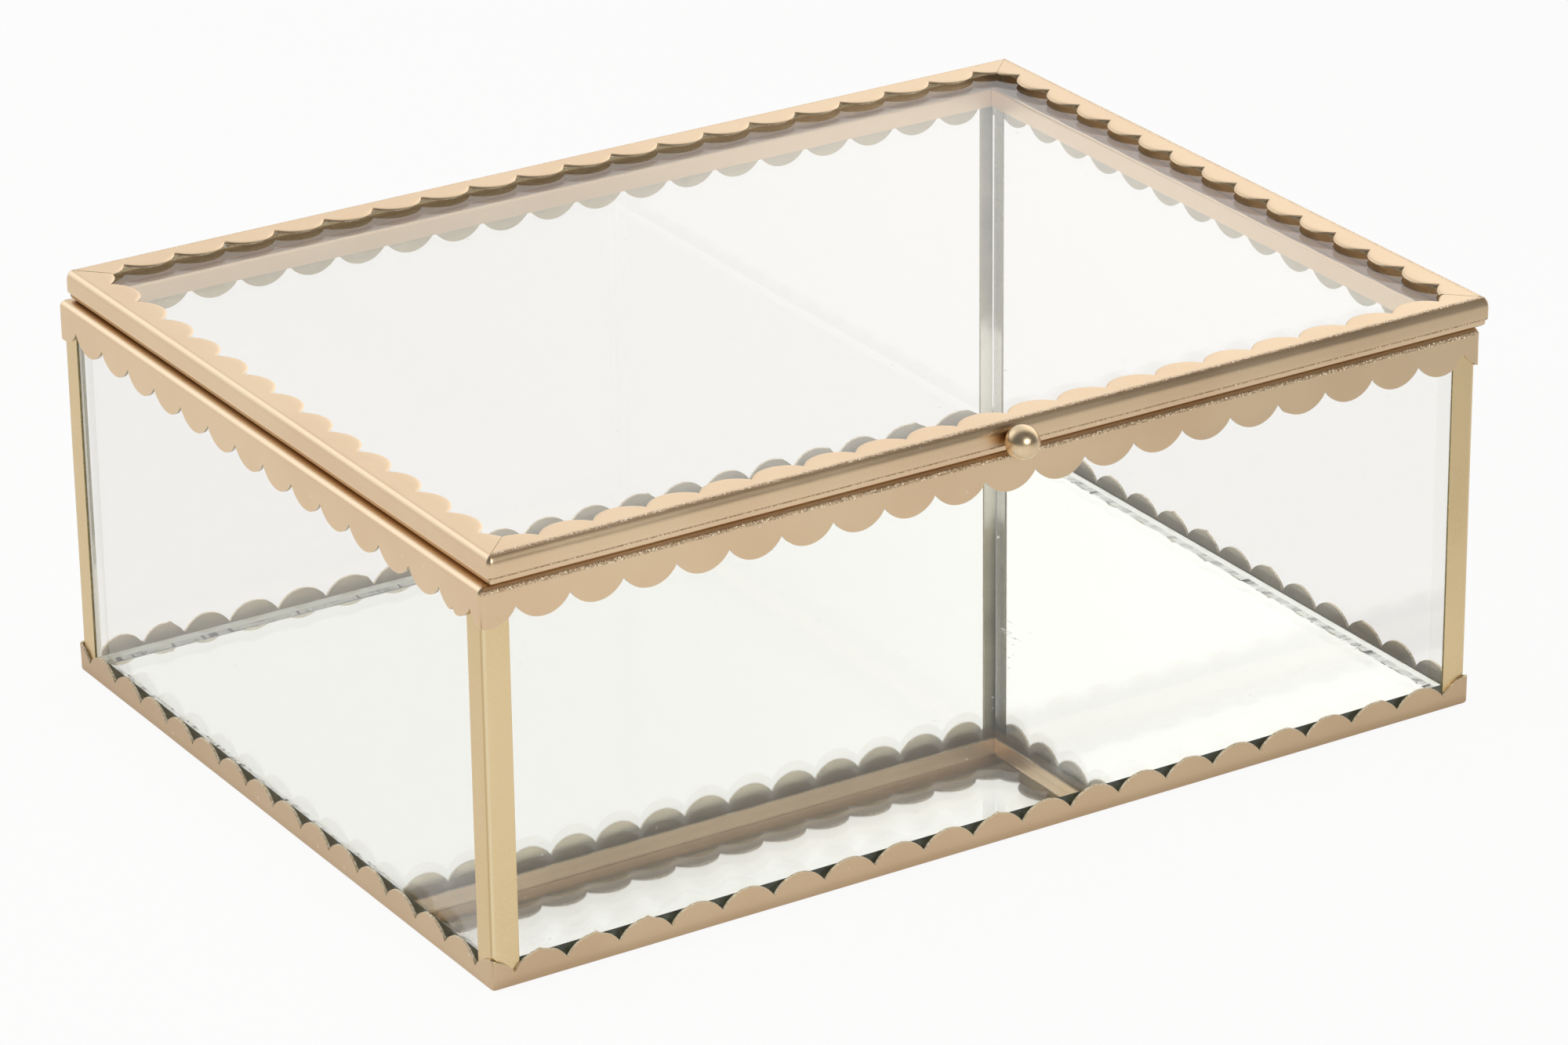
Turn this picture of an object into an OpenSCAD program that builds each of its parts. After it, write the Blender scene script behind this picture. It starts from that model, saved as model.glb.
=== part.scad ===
// Glass casket box with a hinged lid, folded brass rims and a mirror base.
// Millimetres. Origin: centre of the face it stands on. +Z up, front (knob) towards -Y.

/* [Scalloped strip] */
// Scallops along the front and the back
front_scallops = 20; // [14:1:26]
// Scallops along each side
side_scallops = 15; // [9:1:20]
// Length of one scallop
scallop_pitch = 10; // [9:0.5:12]
// How far a scallop stands out from its band
scallop_rise = 2.9; // [1.5:0.1:3.4]
// Thickness of the folded strip
sheet_t = 0.5; // [0.4:0.05:0.6]
// Outer radius of the strip's upright corner bends
bend_r = 1; // [0.8:0.1:1.6]
// Width of the hairline where two flanges meet in a corner
mitre_gap = 0.15; // [0.05:0.05:0.3]

/* [Body] */
// Height of the body, from the table to the top of its upper rim
body_h = 72; // [55:1:110]
// Plain band of the upper rim, above its scallops
top_band = 4.4; // [4:0.1:8]
// Height of the upper rim's inner leg, behind the panes
top_leg = 3.8; // [3:0.1:5]
// Where the upper rim's pattern starts, past each corner
top_phase = 1.6; // [-4:0.1:4]
// Plain band of the lower rim, under its scallops
base_band = 2.5; // [1.5:0.1:5]
// Width of the lower rim's flange, under the panes and the mirror
base_flange = 6; // [5.5:0.5:12]
// Where the lower rim's pattern starts, past each corner
base_phase = -0.7; // [-4:0.1:4]

/* [Corner posts] */
// Width of each leg of a corner post
post_leg = 5; // [3.5:0.5:9]
// Thickness of a corner post
post_t = 0.5; // [0.4:0.1:0.8]
// Outer radius of a corner post's bend
post_bend_r = 1.1; // [0.9:0.1:1.6]

/* [Glass] */
// Thickness of the four side panes
pane_t = 3; // [2:0.5:3]
// Thickness of the mirror
mirror_t = 3; // [2:0.5:5]
// Thickness of the lid's pane
lid_pane_t = 2.4; // [1.5:0.1:2.4]
// Gap left for adhesive round each piece of glass
glue_gap = 0.1; // [0.05:0.05:0.25]

/* [Lid] */
// Height of the lid rim's upright band
lid_band = 4.1; // [4:0.1:6]
// Plain part of the lid's top flange, outside its scallops
lid_flange = 3.6; // [3.3:0.1:6]
// Step behind the lower edge of the band
return_step = 0.3; // [0.2:0.05:0.4]
// How far the band's lower edge folds in below the step
return_in = 0.8; // [0.6:0.1:1]
// Height of that fold, down to the body's rim
return_drop = 1.5; // [1.4:0.1:2]
// Depth of the lid rim's foot, from its outer face
foot_w = 3; // [2.9:0.1:3.2]
// Gap between the lid's flange and its pane
lid_gap = 0.3; // [0.3:0.1:0.9]
// How far the pane's edge stays behind the band
pane_edge = 0.7; // [0.65:0.05:1]
// How far the lid sits to the right of the body's centre
lid_set_x = 1.2; // [-1.5:0.1:1.5]
// How far the lid sits behind the body's centre
lid_set_y = -0.9; // [-1.5:0.1:0.2]

/* [Knob] */
// Diameter of the ball
knob_d = 6; // [5:0.5:8]
// Height of the ball's centre above the lower edge of the lid's band
knob_up = 1.5; // [1.5:0.1:1.9]
// Length of the collar between the band and the ball
collar_len = 0.3; // [0.2:0.1:2]
// Diameter of the collar
collar_d = 2.4; // [2:0.1:3]
// Diameter of the stud
stud_d = 1.2; // [1:0.1:1.4]
// Depth of the stud's hole in the ball
stud_in = 2.2; // [1:0.1:3]
// Diameter of the stud's flattened end
rivet_d = 1.8; // [1.6:0.1:1.8]
// Thickness of the stud's flattened end
rivet_t = 0.4; // [0.2:0.1:0.5]
// Clearance round the stud in the lid's band
stud_clear = 0.05; // [0.02:0.01:0.1]

/* [Hinges] */
// Distance of each hinge from the middle
hinge_x = 60; // [25:1:78]
// Diameter of the hinge pin
pin_d = 1; // [0.8:0.05:1.1]
// Running clearance between the pin and the lid's knuckle
pin_clear = 0.05; // [0.02:0.01:0.08]
// Wall of a knuckle
knuckle_wall = 0.35; // [0.3:0.05:0.4]
// Length of each of the two outer knuckles, on the body
outer_knuckle = 4.2; // [3:0.1:6]
// Length of the middle knuckle, on the lid
middle_knuckle = 5; // [3:0.1:7]
// Gap between two knuckles
knuckle_gap = 0.3; // [0.2:0.05:0.5]
// Thickness of the hinge leaves
leaf_t = 0.4; // [0.3:0.05:0.4]
// Height of the body's leaf on the back of the upper rim
leaf_drop = 4; // [2:0.1:4]
// How far the hinge axis lies inside the lid's back face
axis_in = 0.6; // [0.5:0.05:0.7]
// Room left round what turns
turn_clear = 0.35; // [0.3:0.05:0.4]
// Length of the flattened ends of the pin
pin_head = 0.3; // [0.2:0.05:0.4]

/* [Hidden] */
$fn = 48;
arc_steps = 10;
eps = 0.01;
box_w = front_scallops * scallop_pitch;
box_d = side_scallops * scallop_pitch;
scallop_r = (pow(scallop_pitch / 2, 2) + pow(scallop_rise, 2)) / (2 * scallop_rise);
knob_z = return_drop + knob_up;
wall_in = sheet_t + post_t;             // from the rims' outer face to the panes
post_in_r = post_bend_r - post_t;       // inside of a post's bend
top_w = wall_in + pane_t + glue_gap + sheet_t; // width of the upper rim's channel
pane_w = box_w - 2 * wall_in;
pane_d = box_d - 2 * wall_in;
pane_h = body_h - 2 * sheet_t - glue_gap;
lid_h = lid_band + return_drop;
lid_top = body_h + lid_h;
band_z = body_h + return_drop;          // lower edge of the lid's band
lid_pane_z = lid_top - sheet_t - lid_gap - lid_pane_t;
knuckle_r = pin_d / 2 + pin_clear + knuckle_wall;
axis_z = body_h + leaf_t + turn_clear + knuckle_r;
axis_y = box_d / 2 + lid_set_y - axis_in;
plate_z = -knuckle_r - turn_clear;      // top of the body's leaf, seen from the axis
back_in = box_d / 2 - axis_y;           // from the axis to the body's back face
hinge_len = 2 * outer_knuckle + middle_knuckle + 2 * knuckle_gap;
notch_len = hinge_len + 2 * (pin_head + turn_clear);
notch_in = axis_in + knuckle_r + turn_clear;
knob_y = -box_d / 2 + lid_set_y - collar_len - sqrt(pow(knob_d, 2) - pow(collar_d, 2)) / 2;

// Height of the scalloped edge above its band, at distance s from a scallop's centre
function scallop_at(s) =
    let (x = s - scallop_pitch * round(s / scallop_pitch))
    scallop_rise - scallop_r + sqrt(max(0, pow(scallop_r, 2) - x * x));

// Places along a side where the edge has a point: its ends, the cusps and the arcs
function stops(len, phase) = concat([-len / 2],
    [for (k = [-1 : ceil(len / scallop_pitch) + 1]) for (j = [0 : arc_steps - 1])
        let (u = -len / 2 + phase + (k - 0.5 + j / arc_steps) * scallop_pitch)
        if (abs(u) < len / 2 - eps) u],
    [len / 2]);

// The scalloped edge of a side, as [along, out]; the band ends at `band`
function edge(len, phase, band) =
    [for (u = stops(len, phase)) [u, band + scallop_at(u + len / 2 - phase)]];

// A rectangle with rounded corners
module plate(w, d, r) {
    square([w - 2 * r, d], center = true);
    square([w, d - 2 * r], center = true);
    for (x = [-1, 1], y = [-1, 1]) translate([x * (w / 2 - r), y * (d / 2 - r)]) circle(r);
}

// Puts its child at the front, right, back and left side in turn; $len is the side's length
module each_side(w, d) {
    for (k = [0 : 3]) {
        $len = k % 2 == 0 ? w : d;
        rotate([0, 0, 90 * k]) translate([0, -(k % 2 == 0 ? d : w) / 2, 0]) children();
    }
}

// An upright strip, bent round four corners
module upright_strip(w, d, h) {
    linear_extrude(h) difference() {
        plate(w, d, bend_r);
        plate(w - 2 * sheet_t, d - 2 * sheet_t, bend_r - sheet_t);
    }
}

// An upright strip with scallops above its band
module scalloped_strip(w, d, band, phase) {
    tip = band + scallop_rise;
    difference() {
        upright_strip(w, d, tip);
        each_side(w, d) translate([0, bend_r, 0]) rotate([90, 0, 0]) linear_extrude(bend_r + 1)
            polygon(concat(edge($len, phase, band),
                [[$len / 2 + 1, band], [$len / 2 + 1, tip + 1],
                 [-$len / 2 - 1, tip + 1], [-$len / 2 - 1, band]]));
    }
}

// A flat flange with a straight inner edge
module plain_flange(w, d, reach) {
    linear_extrude(sheet_t) difference() {
        plate(w, d, bend_r);
        square([w - 2 * reach, d - 2 * reach], center = true);
    }
}

// A plain upright strip on the inner edge of a flange
module inner_leg(w, d, reach, h) {
    linear_extrude(h) difference() {
        square([w - 2 * (reach - sheet_t), d - 2 * (reach - sheet_t)], center = true);
        square([w - 2 * reach, d - 2 * reach], center = true);
    }
}

// A flat flange with scallops on its inner edge
module scalloped_flange(w, d, band) {
    linear_extrude(sheet_t) intersection() {
        plate(w, d, bend_r);
        each_side(w, d) polygon(concat([[$len / 2, 0], [-$len / 2, 0]],
            edge($len, scallop_pitch / 2, band)));
    }
}

// The hairlines where flanges meet, from the inner corner to near the bend
module mitre_lines(w, d, reach) {
    from = bend_r * 1.6;
    for (x = [-1, 1], y = [-1, 1]) translate([x * w / 2, y * d / 2, -eps])
        rotate([0, 0, atan2(-y, -x)]) translate([from * sqrt(2), -mitre_gap / 2, 0])
            cube([(reach + 1 - from) * sqrt(2), mitre_gap, sheet_t + 2 * eps]);
}

// Runs a profile, drawn as [inwards, up], round four mitred sides
module mitred_frame(w, d, reach, z0, z1) {
    each_side(w, d) intersection() {
        rotate([90, 0, 90]) linear_extrude($len, center = true) children();
        translate([0, 0, z0]) linear_extrude(z1 - z0)
            polygon([[-$len / 2, 0], [$len / 2, 0],
                [$len / 2 - reach, reach], [-$len / 2 + reach, reach]]);
    }
}

module bottom_rim() {
    color([0.80, 0.69, 0.52]) {
        scalloped_strip(box_w, box_d, base_band, base_phase);
        difference() {
            plain_flange(box_w, box_d, base_flange);
            mitre_lines(box_w, box_d, base_flange);
        }
    }
}

module top_rim() {
    color([0.82, 0.71, 0.54]) translate([0, 0, body_h]) {
        mirror([0, 0, 1]) scalloped_strip(box_w, box_d, top_band, top_phase);
        translate([0, 0, -sheet_t]) difference() {
            union() {
                plain_flange(box_w, box_d, top_w);
                translate([0, 0, sheet_t - top_leg]) inner_leg(box_w, box_d, top_w, top_leg);
            }
            mitre_lines(box_w, box_d, top_w);
        }
    }
}

module mirror_base() {
    color([0.80, 0.84, 0.82]) translate([0, 0, sheet_t])
        linear_extrude(mirror_t) square([pane_w - 2 * (pane_t + glue_gap),
            pane_d - 2 * (pane_t + glue_gap)], center = true);
}

// A pane that runs along X, its outer face on y = 0 and the glass behind it
module pane(len) {
    color([0.80, 0.90, 0.86, 0.35]) translate([-len / 2, 0, sheet_t]) cube([len, pane_t, pane_h]);
}

module front_glass() {
    translate([0, -pane_d / 2, 0]) pane(pane_w - 2 * max(post_in_r, glue_gap));
}
module back_glass() { rotate([0, 0, 180]) front_glass(); }
module right_glass() {
    rotate([0, 0, 90]) translate([0, -pane_w / 2, 0]) pane(pane_d - 2 * (pane_t + glue_gap));
}
module left_glass() { rotate([0, 0, 180]) right_glass(); }

// Angle section with a rounded bend, standing at the corner given by the signs x and y
module post(x, y) {
    color([0.83, 0.75, 0.56])
        translate([x * (box_w / 2 - sheet_t), y * (box_d / 2 - sheet_t), sheet_t])
        scale([-x, -y, 1]) linear_extrude(body_h - 2 * sheet_t) difference() {
            union() {
                translate([post_bend_r, 0]) square([post_leg - post_bend_r, post_t]);
                translate([0, post_bend_r]) square([post_t, post_leg - post_bend_r]);
                intersection() {
                    translate([post_bend_r, post_bend_r]) circle(post_bend_r);
                    square(post_bend_r);
                }
            }
            translate([post_bend_r, post_bend_r]) circle(post_in_r);
            translate([post_bend_r, post_t]) square(post_leg);
            translate([post_t, post_bend_r]) square(post_leg);
        }
}

module post_front_left() { post(-1, -1); }
module post_front_right() { post(1, -1); }
module post_back_right() { post(1, 1); }
module post_back_left() { post(-1, 1); }

// Folded-in lower edge of the lid rim, with a foot on the body and a ledge under the pane
module lid_channel() {
    slant = sheet_t * sqrt(1 + pow(return_in / return_drop, 2));
    inner = return_step + slant;
    mitred_frame(box_w, box_d, foot_w, body_h, lid_top) polygon([
        [return_step, band_z + sheet_t], [return_step, band_z],
        [return_step + return_in, body_h], [foot_w, body_h], [foot_w, lid_pane_z],
        [foot_w - sheet_t, lid_pane_z], [foot_w - sheet_t, body_h + sheet_t],
        [inner + return_in * (1 - sheet_t / return_drop), body_h + sheet_t],
        [inner, band_z], [inner, band_z + sheet_t]]);
}

module lid_rim() {
    color([0.86, 0.75, 0.58]) difference() {
        translate([lid_set_x, lid_set_y, 0]) {
            translate([0, 0, band_z]) upright_strip(box_w, box_d, lid_band);
            translate([0, 0, lid_top - sheet_t]) difference() {
                scalloped_flange(box_w, box_d, lid_flange);
                mitre_lines(box_w, box_d, lid_flange + scallop_rise);
            }
            lid_channel();
        }
        // room for the hinges
        for (x = [-1, 1]) translate([x * hinge_x - notch_len / 2,
            axis_y + axis_in - notch_in, body_h - 1])
            cube([notch_len, notch_in + 1, axis_z - body_h + 1 + knuckle_r + turn_clear]);
        // hole for the knob's stud
        translate([lid_set_x, -box_d / 2 + lid_set_y - 1, body_h + knob_z]) rotate([-90, 0, 0])
            cylinder(h = sheet_t + 1 + 0.1, r = stud_d / 2 + stud_clear);
    }
}

module lid_glass() {
    inset = 2 * (sheet_t + pane_edge);
    color([0.80, 0.90, 0.86, 0.35]) translate([lid_set_x, lid_set_y, lid_pane_z])
        linear_extrude(lid_pane_t) square([box_w - inset, box_d - inset], center = true);
}

module knob_ball() {
    color([0.84, 0.74, 0.58]) translate([lid_set_x, knob_y, body_h + knob_z]) difference() {
        sphere(knob_d / 2);
        // flat that sits on the collar, and the hole for the stud
        translate([-knob_d, sqrt(pow(knob_d, 2) - pow(collar_d, 2)) / 2, -knob_d])
            cube([2 * knob_d, knob_d, 2 * knob_d]);
        rotate([-90, 0, 0]) translate([0, 0, knob_d / 2 - stud_in])
            cylinder(h = stud_in, r = stud_d / 2 + eps);
    }
}

module knob_stud() {
    face = -box_d / 2 + lid_set_y;
    color([0.72, 0.60, 0.40]) translate([lid_set_x, face, body_h + knob_z]) rotate([-90, 0, 0]) {
        tip = knob_y - face + knob_d / 2 - stud_in + 2 * eps;
        translate([0, 0, tip]) cylinder(h = sheet_t + rivet_t - tip, r = stud_d / 2);
        translate([0, 0, -collar_len]) cylinder(h = collar_len, r = collar_d / 2);
        translate([0, 0, sheet_t]) cylinder(h = rivet_t, r = rivet_d / 2);
    }
}

// A round bar along X, from x0 on
module bar(x0, len, r) {
    translate([x0, 0, 0]) rotate([0, 90, 0]) cylinder(h = len, r = r);
}

// The body's half: a leaf over the rim's edge that curls up into two knuckles
module body_leaf() {
    color([0.76, 0.64, 0.44]) difference() {
        union() {
            translate([-hinge_len / 2, -knuckle_r, plate_z - leaf_t])
                cube([hinge_len, knuckle_r + back_in + leaf_t, leaf_t]);
            translate([-hinge_len / 2, back_in, plate_z - leaf_t - leaf_drop])
                cube([hinge_len, leaf_t, leaf_drop + leaf_t]);
            for (x0 = [-hinge_len / 2, hinge_len / 2 - outer_knuckle]) {
                bar(x0, outer_knuckle, knuckle_r);
                translate([x0, -knuckle_r, plate_z - leaf_t])
                    cube([outer_knuckle, leaf_t, leaf_t - plate_z]);
            }
        }
        bar(-hinge_len / 2 - 1, hinge_len + 2, pin_d / 2 + 2 * eps);
    }
}

// The lid's half: a leaf inside the band that curls down into the middle knuckle
module lid_leaf() {
    rise = axis_z + knuckle_r + turn_clear;
    y0 = axis_in - sheet_t - leaf_t;
    top = lid_top - sheet_t - turn_clear;
    color([0.78, 0.66, 0.46]) difference() {
        union() {
            bar(-middle_knuckle / 2, middle_knuckle, knuckle_r);
            translate([-middle_knuckle / 2, y0, 0]) cube([middle_knuckle, leaf_t, top - axis_z]);
            translate([-hinge_len / 2, y0, rise - axis_z]) cube([hinge_len, leaf_t, top - rise]);
        }
        bar(-middle_knuckle, 2 * middle_knuckle, pin_d / 2 + pin_clear);
    }
}

module hinge_pin() {
    color([0.74, 0.72, 0.68]) {
        bar(-hinge_len / 2 - pin_head, hinge_len + 2 * pin_head, pin_d / 2);
        for (x0 = [-hinge_len / 2 - pin_head, hinge_len / 2])
            bar(x0, pin_head, pin_d / 2 + knuckle_wall / 2 + pin_clear);
    }
}

// Puts its child on the axis of the left (-1) or right (1) hinge
module at_hinge(x) { translate([x * hinge_x, axis_y, axis_z]) children(); }

bottom_rim();
mirror_base();
front_glass();
back_glass();
left_glass();
right_glass();
post_front_left();
post_front_right();
post_back_right();
post_back_left();
top_rim();
lid_rim();
lid_glass();
knob_ball();
knob_stud();
at_hinge(-1) body_leaf();  // hinge_left_body_leaf
at_hinge(-1) lid_leaf();  // hinge_left_lid_leaf
at_hinge(-1) hinge_pin();  // hinge_left_pin
at_hinge(1) body_leaf();  // hinge_right_body_leaf
at_hinge(1) lid_leaf();  // hinge_right_lid_leaf
at_hinge(1) hinge_pin();  // hinge_right_pin
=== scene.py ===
"""Glass casket box: scalloped brass rims, glass panes, mirror base, ball knob and hinges.

Sizes in the classes are millimetres. Every mesh is made in metres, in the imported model's frame.
"""

import logging
import math
import random
from dataclasses import dataclass, field, replace
from enum import Enum, IntEnum
from typing import Dict, List, Optional, Sequence, Tuple, Union

import bmesh
import bpy
from mathutils import Matrix, Vector, noise

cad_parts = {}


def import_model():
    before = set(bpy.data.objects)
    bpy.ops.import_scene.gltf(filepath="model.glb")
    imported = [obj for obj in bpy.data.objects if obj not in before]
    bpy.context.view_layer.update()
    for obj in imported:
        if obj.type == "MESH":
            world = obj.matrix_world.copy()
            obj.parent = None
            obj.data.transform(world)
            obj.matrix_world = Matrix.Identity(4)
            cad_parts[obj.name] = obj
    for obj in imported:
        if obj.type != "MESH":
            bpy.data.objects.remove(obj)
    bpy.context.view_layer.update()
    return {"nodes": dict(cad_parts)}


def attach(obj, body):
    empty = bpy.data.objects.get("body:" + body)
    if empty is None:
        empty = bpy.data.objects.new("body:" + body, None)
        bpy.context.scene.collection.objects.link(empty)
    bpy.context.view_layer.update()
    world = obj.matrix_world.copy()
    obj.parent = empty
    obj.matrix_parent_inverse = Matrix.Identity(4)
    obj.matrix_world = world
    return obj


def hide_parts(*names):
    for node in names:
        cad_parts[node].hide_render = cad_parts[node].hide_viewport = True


LOG = logging.getLogger("casket")
MM = 0.001
Colour = Tuple[float, float, float]
Point = Tuple[float, float, float]
Four = Tuple[float, float, float, float]
Pair = Tuple[float, float]
Piece = bpy.types.Object
BMesh = bmesh.types.BMesh
Material = bpy.types.Material
Socket = bpy.types.NodeSocket
Tint = Union[Colour, Socket]


def srgb(red: float, green: float, blue: float) -> Colour:
    """Linear colour of a display colour.

    Args:
        red: red from 0 to 255.
        green: green from 0 to 255.
        blue: blue from 0 to 255.

    Returns:
        The three linear channels.
    """

    def channel(value: float) -> float:
        """One linear channel."""
        value /= 255.0
        return value / 12.92 if value <= 0.04045 else ((value + 0.055) / 1.055) ** 2.4

    return channel(red), channel(green), channel(blue)


def dimmed(colour: Colour, share: float) -> Colour:
    """The colour, with each channel multiplied by the share."""
    return tuple(channel * share for channel in colour)


BLACK: Colour = (0.0, 0.0, 0.0)
WHITE: Colour = (1.0, 1.0, 1.0)
SHEEN: Colour = (1.0, 0.93, 0.82)
# Darker brass along a crease: partly worn lacquer, partly painted shade
WORN_AND_SHADED_BRASS = srgb(176, 132, 84)
CRACK_BROWN = srgb(104, 74, 42)
# Painted glints: the white of the specks in a cracked crease, and the colour of their glow
GLINT_SPECK_WHITE = srgb(255, 246, 226)
GLINT = srgb(255, 234, 200)
# Painted highlight along the soft folds
PAINTED_FOLD_HIGHLIGHT = srgb(255, 238, 208)
# Painted shade: the brown of creases, recesses and shadows on the strips
PAINTED_SHADE_BROWN = srgb(124, 90, 52)
BARE_METAL = srgb(250, 234, 208)
# Painted light and shade of a post's bend: a shaded line, a highlight line and a shaded leg
PAINTED_SHADE_LINE = srgb(150, 118, 70)
PAINTED_HIGHLIGHT_LINE = srgb(255, 242, 208)
SHADED_LEG = srgb(170, 140, 100)
BRASS_DUST = srgb(250, 240, 222)
SCRATCH = srgb(250, 238, 215)
# Milky glue low on the posts' backs, and the colour of the painted glow over it
GLUE = srgb(240, 236, 224)
GLUE_GLOW = srgb(225, 221, 208)
STEEL = srgb(205, 202, 196)
STEEL_STAIN = srgb(140, 126, 108)
GLASS_DUST = srgb(225, 222, 214)
CLOUDED: Colour = (0.6, 0.6, 0.55)
RUBBED = srgb(226, 232, 220)
BARE_BACKING = srgb(196, 196, 190)
FLOOR_COLOUR: Colour = (0.84, 0.83, 0.81)


# --- Shader maths ---


class Field:
    """One value socket, on which Python's operators build Math nodes."""

    def __init__(self, graph: "Graph", socket: Socket) -> None:
        """Wraps a socket of a graph."""
        self.graph = graph
        self.socket = socket

    def maths(self, operation: str, *values: "Number") -> "Field":
        """Adds one Math node with these fields or numbers, and returns its result."""
        settings = {"operation": operation}
        return self.graph.field_of("ShaderNodeMath", settings, dict(enumerate(values)))

    def __add__(self, other: "Number") -> "Field":
        """self + other."""
        return self.maths("ADD", self, other)

    def __sub__(self, other: "Number") -> "Field":
        """self - other."""
        return self.maths("SUBTRACT", self, other)

    def __rsub__(self, other: "Number") -> "Field":
        """other - self."""
        return self.maths("SUBTRACT", other, self)

    def __mul__(self, other: "Number") -> "Field":
        """self * other."""
        return self.maths("MULTIPLY", self, other)

    def __abs__(self) -> "Field":
        """abs(self)."""
        return self.maths("ABSOLUTE", self)

    __radd__ = __add__
    __rmul__ = __mul__

    def either(self, other: "Number") -> "Field":
        """The larger of the two."""
        return self.maths("MAXIMUM", self, other)

    def both(self, other: "Number") -> "Field":
        """The smaller of the two."""
        return self.maths("MINIMUM", self, other)

    def rise(self, low: float, high: float) -> "Field":
        """A smooth step of this field.

        Args:
            low: where the step is still 0.
            high: where it has reached 1; below low for a step that falls.

        Returns:
            A field from 0 to 1.
        """
        falls = high < low
        ends = {
            "Value": self,
            "From Min": min(low, high),
            "From Max": max(low, high),
            "To Min": 1.0 if falls else 0.0,
            "To Max": 0.0 if falls else 1.0,
        }
        smooth = {"interpolation_type": "SMOOTHSTEP"}
        return self.graph.field_of("ShaderNodeMapRange", smooth, ends, "Result")


Number = Union[float, Field]


class Graph:
    """A node tree, with one way to add nodes and short names for the common ones."""

    def __init__(self, tree: bpy.types.NodeTree) -> None:
        """Empties the tree."""
        self.tree = tree
        tree.nodes.clear()

    def add(
        self, kind: str, settings: Optional[dict] = None, inputs: Optional[dict] = None
    ) -> bpy.types.Node:
        """Adds one node: its settings first, then the values and links of its sockets.

        Args:
            kind: the node's type.
            settings: its properties.
            inputs: values, sockets or fields by a socket's name or number.

        Returns:
            The new node.
        """
        node = self.tree.nodes.new(kind)
        for name, value in (settings or {}).items():
            setattr(node, name, value)
        for name, value in (inputs or {}).items():
            target = node.inputs[name]
            if isinstance(value, Field):
                self.tree.links.new(value.socket, target)
            elif isinstance(value, Socket):
                self.tree.links.new(value, target)
            elif isinstance(value, tuple) and len(value) == 3 and target.type == "RGBA":
                target.default_value = (*value, 1.0)
            else:
                target.default_value = value
        return node

    def field_of(
        self,
        kind: str,
        settings: Optional[dict] = None,
        inputs: Optional[dict] = None,
        output: Union[int, str] = 0,
    ) -> Field:
        """Adds a node, as add does, and wraps one of its outputs."""
        return Field(self, self.add(kind, settings, inputs).outputs[output])

    def coordinates(self, kind: str) -> Socket:
        """Texture coordinates of one kind."""
        return self.add("ShaderNodeTexCoord").outputs[kind]

    def part(self, vector: Socket, letter: str) -> Field:
        """The X, Y or Z of a vector."""
        return self.field_of("ShaderNodeSeparateXYZ", None, {0: vector}, letter)

    def towards(self, vector: Socket, way: Point) -> Field:
        """How far a vector points a given way: their dot product."""
        dot = {"operation": "DOT_PRODUCT"}
        return self.field_of("ShaderNodeVectorMath", dot, {0: vector, 1: way}, "Value")

    def ray(self, question: str) -> Field:
        """1 for the rays that the light path's output names, such as Is Camera Ray."""
        return self.field_of("ShaderNodeLightPath", output=question)

    def shader(self, kind: str, inputs: dict) -> Socket:
        """Adds a shader node."""
        return self.add(kind, None, inputs).outputs[0]

    def mixed(self, factor: Field, first: Socket, second: Socket) -> Socket:
        """Mixes two shaders: the factor's 0 gives the first and its 1 the second."""
        return self.shader("ShaderNodeMixShader", {0: factor, 1: first, 2: second})


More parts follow.
